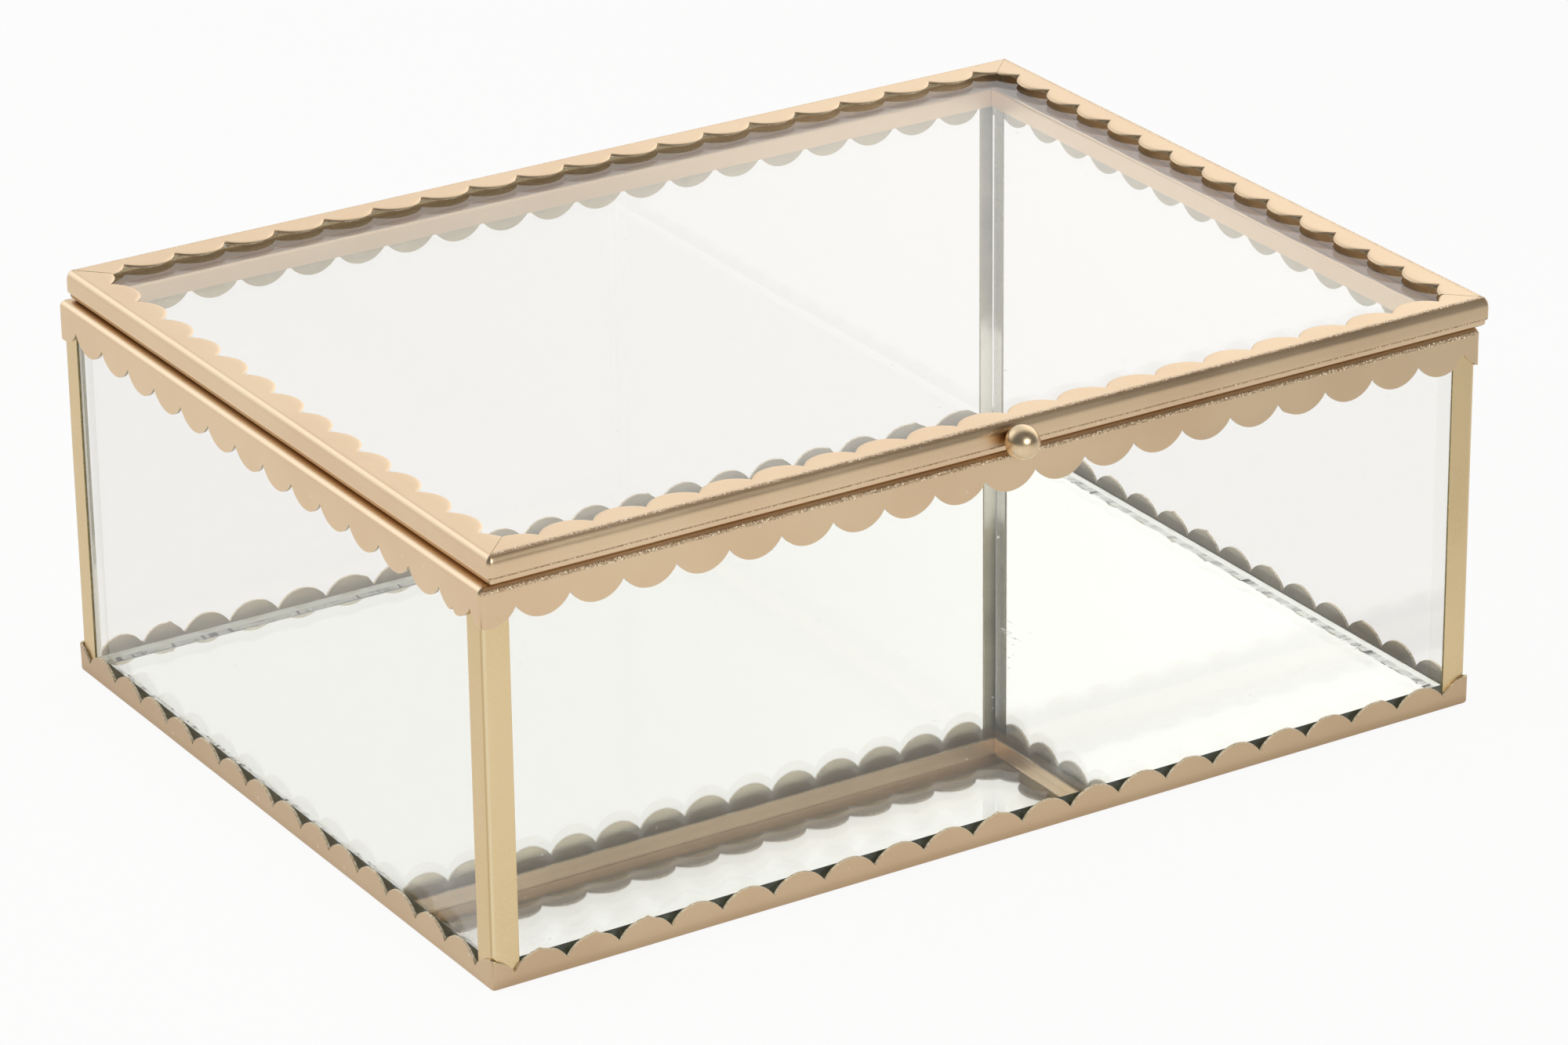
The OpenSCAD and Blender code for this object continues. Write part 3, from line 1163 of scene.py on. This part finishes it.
    def build(self) -> Piece:
        """Lays a grid over each side, folds it into place and joins the four at the corners.

        Returns:
            The strip.
        """
        chance = random.Random(self.seed)
        bm = bmesh.new()
        names = ("fold_mm", "edge_mm", "run_mm", "crease", "grime")
        marks = {name: bm.verts.layers.float.new(name) for name in names}
        rows = self.rows()
        for side in Side:
            length = self.size(side)[0]
            places = self.columns(side)
            flaps = {
                i: chance.uniform(-0.25, 1.0) * self.lift
                for i in range(-2, int(length / self.wave.pitch) + 3)
            }
            columns, lines = len(places) - 1, len(rows) - 1
            made = bmesh.ops.create_grid(bm, x_segments=columns, y_segments=lines, size=0.5)
            for vert in made["verts"]:
                place = places[round((vert.co.x + 0.5) * columns)]
                row = rows[round((vert.co.y + 0.5) * lines)]
                number = round(self.along(side, place, length) / self.wave.pitch)
                out = self.edge_height(side, place, length)
                # Painted shade: the row's share for this side, fading along the left side, plus any
                # painted shadow
                gone = SHADE_FADE * (place / length + 0.5) if side == Side.LEFT else 0.0
                grime = row.grime[side] * (1.0 - gone) + self.painted_shadow(side, place, row)
                vert[marks["grime"]] = grime
                vert[marks["crease"]] = self.crease[side]
                vert[marks["fold_mm"]] = row.fold
                vert[marks["run_mm"]] = place + SIDE_RUN * side
                vert[marks["edge_mm"]] = row.edge + row.edge_wave * out
                vert.co = self.point(side, place, row, flaps[number] * out / self.wave.rise)
        self.cut_notches(bm)
        bmesh.ops.remove_doubles(bm, verts=bm.verts, dist=WELD * MM)
        bmesh.ops.dissolve_degenerate(bm, edges=bm.edges, dist=SLIVER * MM)
        self.face_outwards(bm)
        piece = new_piece(self.name, bm, (Palette.RIM, Palette.BACK, Palette.CUT))
        add_sheet(piece, self.thickness)
        add_bevel(piece, 0.1, 55.0)
        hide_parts(self.node)
        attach(piece, self.body)
        report(piece)
        return piece

    def cut_notches(self, bm: BMesh) -> None:
        """Takes out the faces of the notches.

        Args:
            bm: the strip's mesh.
        """
        gone = []
        for side, begin, end in self.notches():
            turn = Matrix.Rotation(-side * math.pi / 2, 3, "Z")
            across = self.size(side)[1]
            for face in bm.faces:
                at = face.calc_center_median() / MM
                at.x -= self.centre[0]
                at.y -= self.centre[1]
                at = turn @ at
                if begin < at.x < end and self.in_notch(at.y + across / 2, at.z):
                    gone.append(face)
        if gone:
            bmesh.ops.delete(bm, geom=list(set(gone)), context="FACES")

    def face_outwards(self, bm: BMesh) -> None:
        """Turns the grid over if its upright band faces inwards.

        Args:
            bm: the strip's mesh.
        """
        bm.normal_update()
        lean = 0.0
        for face in bm.faces:
            at = face.calc_center_median() / MM
            if abs(face.normal.z) < UPRIGHT and abs(at.y + self.width / 2) < BAND_DEPTH:
                lean += -face.normal.y * face.calc_area()
        if lean < 0:
            bmesh.ops.reverse_faces(bm, faces=bm.faces)


@dataclass
class UpperRim(FoldedStrip):
    """The body's upper rim: a channel over the panes, plain leg inside and scallops outside."""

    name: str = "upper_rim_strip"
    body: str = "box"
    node: str = "top_rim"
    phase: float = 1.6
    drift: Four = (0.0, 0.0, -1.75, 0.0)
    top: float = 72.0
    band: float = 4.4
    reach: float = 4.6
    leg: float = 3.8
    fold_r: float = 1.35
    crease_at: float = 0.8
    crease_way: float = -1.0
    leg_fold_r: float = 0.6
    seed: int = 11

    def rows(self) -> List[Row]:
        """The section, from the inner leg's edge over the channel down to the scallops.

        Returns:
            The rows.
        """
        start = self.top - self.band + self.collar
        foot, small, outer = self.top - self.leg, self.leg_fold_r, self.fold_r
        inner = self.fold_rows(small, 180, 90, (self.reach - small, self.top - small), 4)
        return [
            Row(self.reach, foot, edge=0.0),
            Row(self.reach, foot + 0.3, edge=0.3),
            Row(self.reach, foot + 1.6, edge=1.6),
            Row(self.reach, self.top - 0.9),
            *[replace(row, fold=FAR) for row in inner],
            # Painted shade on the channel's top under the lid's overhang, front and left
            Row(2.6, self.top, grime=(0.3, 0.0, 0.0, 0.3)),
            Row(1.6, self.top, fold=1.9, grime=(0.2, 0.0, 0.0, 0.2)),
            *self.fold_rows(outer, 90, 0, (outer, self.top - outer), 8),
            Row(0.0, self.top - 1.6, fold=-0.8),
            Row(0.0, self.top - 2.4, fold=-FAR),
            *[self.tip(t, (0.0, start), (0, -1), t * t, -FAR) for t in (0.0, 0.3, 0.6, 0.88, 1.0)],
        ]


@dataclass
class LowerRim(FoldedStrip):
    """The body's lower rim: flange under the box, band, scallops that stand up."""

    name: str = "lower_rim_strip"
    body: str = "box"
    node: str = "bottom_rim"
    phase: float = -0.7
    drift: Four = (0.0, 0.0, 3.9, 0.0)
    settle: float = 32.0
    band: float = 2.5
    collar: float = 0.5
    flange: float = 6.0
    fold_r: float = 0.6
    crease: Four = (0.12, 0.1, 0.1, 0.1)
    seed: int = 23

    def rows(self) -> List[Row]:
        """The section, from the scallops down and under the box.

        Returns:
            The rows.
        """
        radius = self.fold_r
        under = self.fold_rows(radius, 0, -90, (radius, radius), 5)
        root = (0.0, self.band - self.collar)
        tips = [self.tip(t, root, (0, 1), t * t) for t in (1.0, 0.88, 0.6, 0.3, 0.0)]
        return [
            # Painted shade, heavier towards the fold on the floor, mostly on the front and left
            *[replace(row, grime=(0.22, 0.0, 0.0, 0.34)) for row in tips[:-1]],
            replace(tips[-1], grime=(0.25, 0.0, 0.0, 0.34)),
            Row(0.0, 1.2, grime=(0.36, 0.05, 0.05, 0.38)),
            *[replace(row, fold=FAR, grime=(0.42, 0.1, 0.1, 0.42)) for row in under],
            Row(1.0, 0.0),
            Row(3.0, 0.0, edge=3.0),
            Row(self.flange - 0.3, 0.0, edge=0.3),
            Row(self.flange, 0.0, edge=0.0),
        ]


@dataclass
class LidRim(FoldedStrip):
    """The lid's rim: scalloped flange, band, and a lower edge folded in to a foot and a ledge."""

    name: str = "lid_rim_strip"
    body: str = "lid"
    node: str = "lid_rim"
    centre: Pair = (1.2, -0.9)
    phase: float = 5.0
    drift: Four = (1.4, 0.0, 0.0, 0.45)
    mitre_gaps: Four = (0.14, 0.2, 0.08, 0.3)
    crease_at: float = 0.0
    top: float = 77.6
    band_z: float = 73.5
    base_z: float = 72.0
    flange: float = 3.6
    sharp_r: float = 0.5
    round_r: float = 2.4
    turn_r: float = 0.28
    step_in: float = 0.3
    foot: float = 3.0
    ledge: float = 74.4
    hinge_x: float = 60.0
    notch: float = 15.3
    notch_top: float = 74.9
    notch_in: float = 1.85
    seed: int = 37
    lift: float = 0.0

    def rows(self) -> List[Row]:
        """The section, from the scallops out over the fold, down the band and in to the ledge.

        Returns:
            The rows.
        """
        start = self.flange - self.collar
        sharp, swept_r, turn = self.sharp_r, self.round_r, self.turn_r
        slope = math.sqrt(0.5)
        inner = swept_r - (swept_r - sharp) * slope
        low = self.top - sharp - (swept_r - sharp) * slope
        rolled = self.fold_rows(sharp, 90, 45, (inner, self.top - sharp), 4)
        swept = self.fold_rows(swept_r, 45, 0, (swept_r, low), 7)[1:]
        bent = rolled[-1].fold
        step, base = self.step_in, self.base_z
        tips = ((1.0, 0.26), (0.955, 0.12), (0.88, 0.04), (0.75, 0.0), (0.4, 0.0), (0.0, 0.0))
        return [
            *[self.tip(t, (start, self.top - drop), (1, 0), fold=-FAR) for t, drop in tips],
            Row(inner + 0.5, self.top, fold=-0.5),
            *rolled,
            *[replace(row, fold=row.fold + bent) for row in swept],
            Row(0.0, low - 0.15),
            Row(0.0, self.notch_top),
            *self.fold_rows(turn, 0, -80, (turn, self.band_z + turn), 3),
            # Painted shade down the return under the band, darkest at the foot and on the ledge
            Row(step + 0.1, self.band_z - 0.02, grime=(0.6, 0.6, 0.6, 0.5)),
            Row(step + 0.14, self.band_z - 0.14, grime=(0.0, 0.2, 0.3, 0.45)),
            Row(step + 0.2, base + 0.72, grime=(0.0, 0.3, 0.4, 0.55)),
            Row(step + 0.34, base + 0.5, grime=(0.3, 0.4, 0.5, 0.6)),
            Row(step + 0.98, base + 0.1, grime=(0.5, 0.6, 0.7, 0.8)),
            Row(step + 1.25, base + 0.01, grime=(0.7, 0.8, 0.8, 0.9)),
            Row(self.notch_in, base),
            Row(self.foot - 0.3, base),
            Row(self.foot, base + 0.3, grime=(0.6, 0.6, 0.6, 0.6)),
            Row(self.foot, self.ledge, grime=(0.8, 0.8, 0.8, 0.8)),
        ]

    def notches(self) -> List[Tuple[Side, float, float]]:
        """The hinges' notches in the back.

        Returns:
            The side, beginning and end of each.
        """
        half = self.notch / 2
        middles = [self.centre[0] - x for x in (-self.hinge_x, self.hinge_x)]
        return [(Side.BACK, middle - half, middle + half) for middle in middles]

    def painted_shadow(self, side: Side, place: float, row: Row) -> float:
        """The knob's painted shadow on the band, just beside the knob.

        Args:
            side: the side.
            place: the distance from the side's middle.
            row: the row of the section.

        Returns:
            The share of painted shade to add.
        """
        if side != Side.FRONT or row.depth > 0.4 or row.height < self.band_z:
            return 0.0
        return 0.75 * math.exp(-(((place + 1.6) / 2.4) ** 2))

    def in_notch(self, depth: float, height: float) -> bool:
        """Whether a point of the section lies below the notch's top and in front of its back."""
        return height < self.notch_top and depth < self.notch_in


# --- Posts, glass, mirror ---


SQUARE = 0.95  # the least part of its normal that a pane's flat face turns to its axis


class Corner(Enum):
    """The four corners, as the signs of their place."""

    FRONT_LEFT = (-1, -1)
    FRONT_RIGHT = (1, -1)
    BACK_RIGHT = (1, 1)
    BACK_LEFT = (-1, 1)


@dataclass
class CornerPosts:
    """Four angle posts with a rounded bend, over the ends of the panes."""

    leg: float = 5.0
    thickness: float = 0.5
    bend: float = 1.1
    face: Pair = (99.5, 74.5)
    low: float = 0.5
    high: float = 71.5
    parts: int = 8
    tall: int = 12
    sway: float = 0.03

    def build(self) -> List[Piece]:
        """Makes the four posts."""
        return [self.post(corner) for corner in Corner]

    def profile(self) -> List[Pair]:
        """The outer line of the section, from one leg's edge round the bend to the other's.

        Returns:
            The distances of its points from the two outer faces.
        """
        turns = [math.pi / 2 * i / self.parts for i in range(self.parts + 1)]
        bend = [
            (self.bend - self.bend * math.cos(a), self.bend - self.bend * math.sin(a))
            for a in turns
        ]
        middle = (self.leg + self.bend) / 2
        return [(0.0, self.leg), (0.0, middle), *bend, (middle, 0.0), (self.leg, 0.0)]

    def post(self, corner: Corner) -> Piece:
        """One post.

        Args:
            corner: where it stands.

        Returns:
            The post.
        """
        sx, sy = corner.value
        line = self.profile()
        bm = bmesh.new()
        turn = bm.verts.layers.float.new("turn_mm")
        columns = len(line) - 1
        made = bmesh.ops.create_grid(bm, x_segments=columns, y_segments=self.tall, size=0.5)
        for vert in made["verts"]:
            a, b = line[round((vert.co.x + 0.5) * columns)]
            rise = (vert.co.y + 0.5) * (self.high - self.low) + self.low
            sway = noise.noise(Vector((rise * 0.04, sx * 3.1, sy * 5.7))) * self.sway
            vert[turn] = a - b
            x, y = sx * (self.face[0] - a + sway), sy * (self.face[1] - b + sway)
            vert.co = Vector((x, y, rise)) * MM
        bm.normal_update()
        out = Vector((sx, sy, 0))
        if sum(face.normal.dot(out) for face in bm.faces) < 0:
            bmesh.ops.reverse_faces(bm, faces=bm.faces)
        name = corner.name.lower()
        finishes = (Palette.POST, Palette.POST_BACK, Palette.POST_CUT)
        piece = new_piece(f"angle_{name}", bm, finishes)
        add_sheet(piece, self.thickness)
        add_bevel(piece, 0.1)
        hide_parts(f"post_{name}")
        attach(piece, "box")
        report(piece)
        return piece


@dataclass
class Pane:
    """One rectangular piece of glass with ground edges."""

    name: str
    node: str
    body: str
    low: Point
    high: Point
    flat: int
    finish: Palette = Palette.GLASS
    edge: Palette = Palette.EDGE
    chamfer: float = 0.06

    def shape(self) -> BMesh:
        """The bevelled slab, with its edge faces on the second material.

        Returns:
            The mesh.
        """
        bm = bmesh.new()
        bmesh.ops.create_cube(bm, size=1.0)
        size = [(h - l) * MM for l, h in zip(self.low, self.high)]
        middle = [(h + l) / 2 * MM for l, h in zip(self.low, self.high)]
        bmesh.ops.scale(bm, vec=Vector(size), verts=bm.verts)
        bmesh.ops.translate(bm, vec=Vector(middle), verts=bm.verts)
        bmesh.ops.bevel(
            bm,
            geom=list(bm.edges),
            offset=self.chamfer * MM,
            affect="EDGES",
            segments=1,
            profile=0.5,
            material=-1,
        )
        bm.normal_update()
        for face in bm.faces:
            face.material_index = 0 if abs(face.normal[self.flat]) > SQUARE else 1
        return bm

    def build(self) -> Piece:
        """Makes the pane.

        Returns:
            The pane.
        """
        piece = new_piece(self.name, self.shape(), (self.finish, self.edge), False)
        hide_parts(self.node)
        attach(piece, self.body)
        report(piece)
        return piece


@dataclass
class Glazing:
    """The four side panes and the lid's pane."""

    face: Pair = (99.0, 74.0)
    thickness: float = 3.0
    low: float = 0.5
    high: float = 71.4
    halves: Pair = (70.9, 98.4)
    lid_low: float = 74.4
    lid_high: float = 76.6
    lid_half: Pair = (98.8, 73.8)
    lid_centre: Pair = (1.2, -0.9)

    def side_pane(self, name: str, flat: int, sign: int, edge: Palette) -> Pane:
        """One side's pane.

        Args:
            name: the side's name.
            flat: the axis that it faces along.
            sign: which way it faces.
            edge: the finish of its edge.

        Returns:
            The pane.
        """
        outer = sign * self.face[flat]
        faces = sorted((outer, outer - sign * self.thickness))
        spans = [(-self.halves[flat], self.halves[flat])] * 2
        spans[flat] = tuple(faces)
        (x0, x1), (y0, y1) = spans
        low, high = (x0, y0, self.low), (x1, y1, self.high)
        return Pane(f"{name}_pane", f"{name}_glass", "box", low, high, flat, edge=edge)

    def lid_pane(self) -> Pane:
        """The lid's pane.

        Returns:
            The pane.
        """
        (cx, cy), (hx, hy) = self.lid_centre, self.lid_half
        low, high = (cx - hx, cy - hy, self.lid_low), (cx + hx, cy + hy, self.lid_high)
        finishes = (Palette.LID_GLASS, Palette.LID_EDGE)
        return Pane("lid_pane", "lid_glass", "lid", low, high, 2, *finishes)

    def build(self) -> List[Piece]:
        """Makes the panes; the back and right ones have rubbed edges.

        Returns:
            The five panes.
        """
        sides = (
            ("front", 1, -1, Palette.EDGE),
            ("back", 1, 1, Palette.RUBBED_EDGE),
            ("left", 0, -1, Palette.EDGE),
            ("right", 0, 1, Palette.RUBBED_EDGE),
        )
        panes = [self.side_pane(*side) for side in sides] + [self.lid_pane()]
        return [pane.build() for pane in panes]


@dataclass
class MirrorBase(Pane):
    """The mirror: a slab of glass, silvered underneath."""

    name: str = "mirror_slab"
    node: str = "mirror_base"
    body: str = "box"
    low: Point = (-95.9, -70.9, 0.5)
    high: Point = (95.9, 70.9, 3.5)
    flat: int = 2
    finish: Palette = Palette.MIRROR_GLASS
    edge: Palette = Palette.MIRROR_EDGE
    chamfer: float = 0.08

    def build(self) -> Piece:
        """Makes the slab, with the silver on the face that looks down.

        Returns:
            The slab.
        """
        bm = self.shape()
        for face in bm.faces:
            if face.normal.z < -SQUARE:
                face.material_index = 2
        piece = new_piece(self.name, bm, (self.finish, self.edge, Palette.SILVER), False)
        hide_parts(self.node)
        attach(piece, self.body)
        report(piece)
        return piece


# --- Knob and hinges ---


def dress(node: Piece, finish: Palette) -> None:
    """Gives one of the model's own pieces a finish.

    Args:
        node: the piece.
        finish: its finish.
    """
    node.data.materials.clear()
    node.data.materials.append(finish.material())
    LOG.info("%s: dressed in %s", node.name, finish.value.name)


@dataclass
class BallKnob:
    """The ball on the lid's front, with the flat that sits on the stud's collar."""

    radius: float = 3.0
    centre: Point = (1.2, -78.95, 75.0)
    flat: float = 2.7495
    segments: int = 64
    rings: int = 40

    def build(self, nodes: Dict[str, Piece]) -> Piece:
        """Makes the ball and dresses the stud.

        Args:
            nodes: the model's own pieces by name.

        Returns:
            The ball.
        """
        bm = bmesh.new()
        size = self.radius * MM
        bmesh.ops.create_uvsphere(bm, u_segments=self.segments, v_segments=self.rings, radius=size)
        over = Matrix.Rotation(math.pi / 2, 3, "X")
        bmesh.ops.rotate(bm, cent=Vector(), matrix=over, verts=bm.verts)
        cut = bmesh.ops.bisect_plane(
            bm,
            geom=bm.verts[:] + bm.edges[:] + bm.faces[:],
            plane_co=Vector((0, self.flat * MM, 0)),
            plane_no=Vector((0, 1, 0)),
            clear_outer=True,
        )["geom_cut"]
        rim = [e for e in cut if isinstance(e, bmesh.types.BMEdge)]
        bmesh.ops.holes_fill(bm, edges=rim, sides=0)
        bmesh.ops.translate(bm, vec=Vector(self.centre) * MM, verts=bm.verts)
        bmesh.ops.recalc_face_normals(bm, faces=bm.faces)
        piece = new_piece("knob_turned_ball", bm, (Palette.KNOB,))
        add_bevel(piece, 0.08, 20.0)
        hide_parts("knob_ball")
        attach(piece, "lid")
        dress(nodes["knob_stud"], Palette.KNOB)
        report(piece)
        return piece


@dataclass
class BarrelHinges:
    """The two hinges at the back, kept as the model has them."""

    sides: Tuple[str, ...] = ("left", "right")

    def dress(self, nodes: Dict[str, Piece]) -> None:
        """Finishes the leaves and the pins.

        Args:
            nodes: the model's own pieces by name.
        """
        for side in self.sides:
            dress(nodes[f"hinge_{side}_body_leaf"], Palette.HINGE)
            dress(nodes[f"hinge_{side}_lid_leaf"], Palette.HINGE)
            dress(nodes[f"hinge_{side}_pin"], Palette.PIN)


# --- Studio, in metres ---


@dataclass
class SoftBox:
    """One soft lamp, aimed at the box."""

    name: str
    place: Point
    size: Pair
    power: float
    mirrored: bool = False
    target: Point = (0.0, 0.0, 0.04)

    def build(self) -> Piece:
        """Hangs the lamp.

        Returns:
            The lamp.
        """
        lamp = bpy.data.lights.new(self.name, "AREA")
        lamp.shape = "RECTANGLE"
        lamp.size, lamp.size_y = self.size
        lamp.energy = self.power
        hung = in_scene(self.name, lamp)
        hung.location = self.place
        aim = Vector(self.target) - Vector(self.place)
        hung.rotation_euler = aim.to_track_quat("-Z", "Y").to_euler()
        hung.visible_glossy = self.mirrored
        hung.visible_transmission = False
        return hung


@dataclass
class Studio:
    """Pale floor, white surround that is dim behind the camera, and soft lamps."""

    floor_size: float = 6.0
    floor_white: float = 0.86
    floor_glow: float = 1.05
    backwards: Point = (0.30, 0.954, 0.0)
    bank: Point = (-0.402, 0.777, 0.484)
    dim: float = 0.14
    dim_through: float = 0.27
    bright: float = 0.99
    through: float = 1.06
    fill: float = 0.3
    lamps: Tuple[SoftBox, ...] = (
        SoftBox("front softbox", (-0.05, -1.25, 0.62), (0.62, 0.52), 5.0, True),
        SoftBox("left softbox", (-0.95, 0.7, 0.75), (0.8, 0.6), 4.5),
        SoftBox("top softbox", (0.0, 0.15, 1.5), (1.0, 0.8), 2.0),
    )

    def world(self) -> None:
        """White for the camera; for everything else brighter towards the back."""
        world = bpy.data.worlds.new("studio")
        bpy.context.scene.world = world
        world.use_nodes = True
        g = Graph(world.node_tree)
        way = g.coordinates("Generated")
        x = g.part(way, "X")
        glass = g.ray("Is Transmission Ray")
        bank = g.towards(way, self.bank).rise(0.9, 0.98) * 0.4
        aside = x.rise(0.15, 0.8) - 0.42
        most = self.bright + bank + aside * 0.55
        right = x.rise(0.44, 0.56) * 0.17 + self.through
        most = most * (1.0 - glass) + right * glass
        least = self.dim * (1.0 - glass) + glass * self.dim_through
        seen = least + g.towards(way, self.backwards).rise(-0.12, 0.46) * (most - least)
        camera, diffuse = g.ray("Is Camera Ray"), g.ray("Is Diffuse Ray")
        level = seen * (1.0 - diffuse) + diffuse * self.fill
        level = level * (1.0 - camera) + camera
        shine = g.shader("ShaderNodeBackground", {"Color": WHITE, 1: level})
        g.add("ShaderNodeOutputWorld", None, {"Surface": shine})

    def floor(self) -> Piece:
        """The floor: white to the eye and through glass, with the box's shadow on it.

        Returns:
            The floor.
        """
        m = Finish("floor_white")
        eye = m.ray("Is Camera Ray").either(m.ray("Is Transmission Ray"))
        across = m.axis("X").rise(0.26, -0.02)
        close = m.axis("Y").rise(-0.19, -0.11) * 0.75
        mirrored = (1.0 - eye) * m.ray("Is Glossy Ray") * across.either(close) * 0.5
        lit = m.shader("ShaderNodeBsdfDiffuse", {"Color": FLOOR_COLOUR})
        white = m.shader("ShaderNodeEmission", {"Color": WHITE, 1: self.floor_glow})
        bm = bmesh.new()
        bmesh.ops.create_grid(bm, x_segments=1, y_segments=1, size=self.floor_size / 2)
        floor = new_piece("studio_floor", bm, (), False)
        seen = m.mixed(eye * self.floor_white + mirrored, lit, white)
        floor.data.materials.append(m.done(seen))
        return floor

    def build(self) -> None:
        """Sets the floor, the surround, the lamps and the picture's settings."""
        self.world()
        self.floor()
        for lamp in self.lamps:
            lamp.build()
        bpy.context.scene.view_settings.view_transform = "Standard"


@dataclass
class PictureCamera:
    """The camera, by its place, heading and lens."""

    place: Point = (-0.54978, -0.88812, 0.49028)
    heading: float = -31.933
    down: float = 23.693
    roll: float = -0.703
    lens: float = 147.566
    sensor: float = 36.0
    clip: Pair = (0.05, 50.0)

    def build(self) -> Piece:
        """Sets up the camera.

        Returns:
            The camera.
        """
        heading, down, roll = (math.radians(v) for v in (self.heading, self.down, self.roll))
        tilt = Matrix.Rotation(math.pi / 2 - down, 4, "X") @ Matrix.Rotation(roll, 4, "Z")
        turn = Matrix.Rotation(heading, 4, "Z") @ tilt
        data = bpy.data.cameras.new("picture_camera")
        data.lens = self.lens
        data.sensor_width = self.sensor
        data.sensor_fit = "HORIZONTAL"
        data.clip_start, data.clip_end = self.clip
        camera = in_scene("picture_camera", data)
        camera.matrix_world = Matrix.Translation(Vector(self.place)) @ turn
        bpy.context.scene.camera = camera
        return camera


@dataclass(frozen=True)
class Burrs:
    """Torn spots scattered over the tips of a strip's scallops."""

    seed: int = 5
    share: float = 0.35
    shift: float = 1.6
    heights: Pair = (0.12, 0.4)
    widths: Pair = (0.25, 0.5)
    torn: Tuple[float, ...] = (-90.9, -80.1, -70.2)
    after_torn: int = 4

    def scatter(self, rim: FoldedStrip) -> Tuple[Flaw, ...]:
        """Picks the burrs of a strip.

        Args:
            rim: the strip.

        Returns:
            The front's torn tips, and a burr on a share of the other scallops.
        """
        chance = random.Random(self.seed)
        made = []
        for run in self.torn:
            made += [Flaw(Side.FRONT, run, 0.3, 0.35), Flaw(Side.FRONT, run + 1.5, -0.2, 1.1)]
        for side in Side:
            length = rim.size(side)[0]
            first = self.after_torn if side == Side.FRONT else 1
            for number in range(first, int(length / rim.wave.pitch)):
                if chance.random() < self.share:
                    middle = number * rim.wave.pitch - length / 2 + rim.phase
                    run = middle + chance.uniform(-self.shift, self.shift)
                    height, width = chance.uniform(*self.heights), chance.uniform(*self.widths)
                    made.append(Flaw(side, run, height, width))
        return tuple(made)


def upper_rim() -> UpperRim:
    """The upper rim with its burr and its two dents."""
    burr, dent = Flaw(Side.FRONT, 58.0, 0.25, 0.5), Flaw(Side.FRONT, 95.6, -1.1, 0.45)
    return UpperRim(flaws=(burr, dent, Flaw(Side.LEFT, 66.0, -1.0, 0.5)))


def lower_rim() -> LowerRim:
    """The lower rim with the burrs on its tips."""
    return LowerRim(flaws=Burrs().scatter(LowerRim()))


def main() -> None:
    """Builds the box piece by piece, then the studio and the camera."""
    logging.basicConfig(level=logging.INFO, format="%(name)s: %(message)s")
    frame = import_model()
    nodes = frame["nodes"]
    PictureCamera().build()
    for rim in (lower_rim(), upper_rim(), LidRim()):
        rim.build()
    CornerPosts().build()
    Glazing().build()
    MirrorBase().build()
    BallKnob().build(nodes)
    BarrelHinges().dress(nodes)
    Studio().build()


if __name__ == "__main__":
    main()
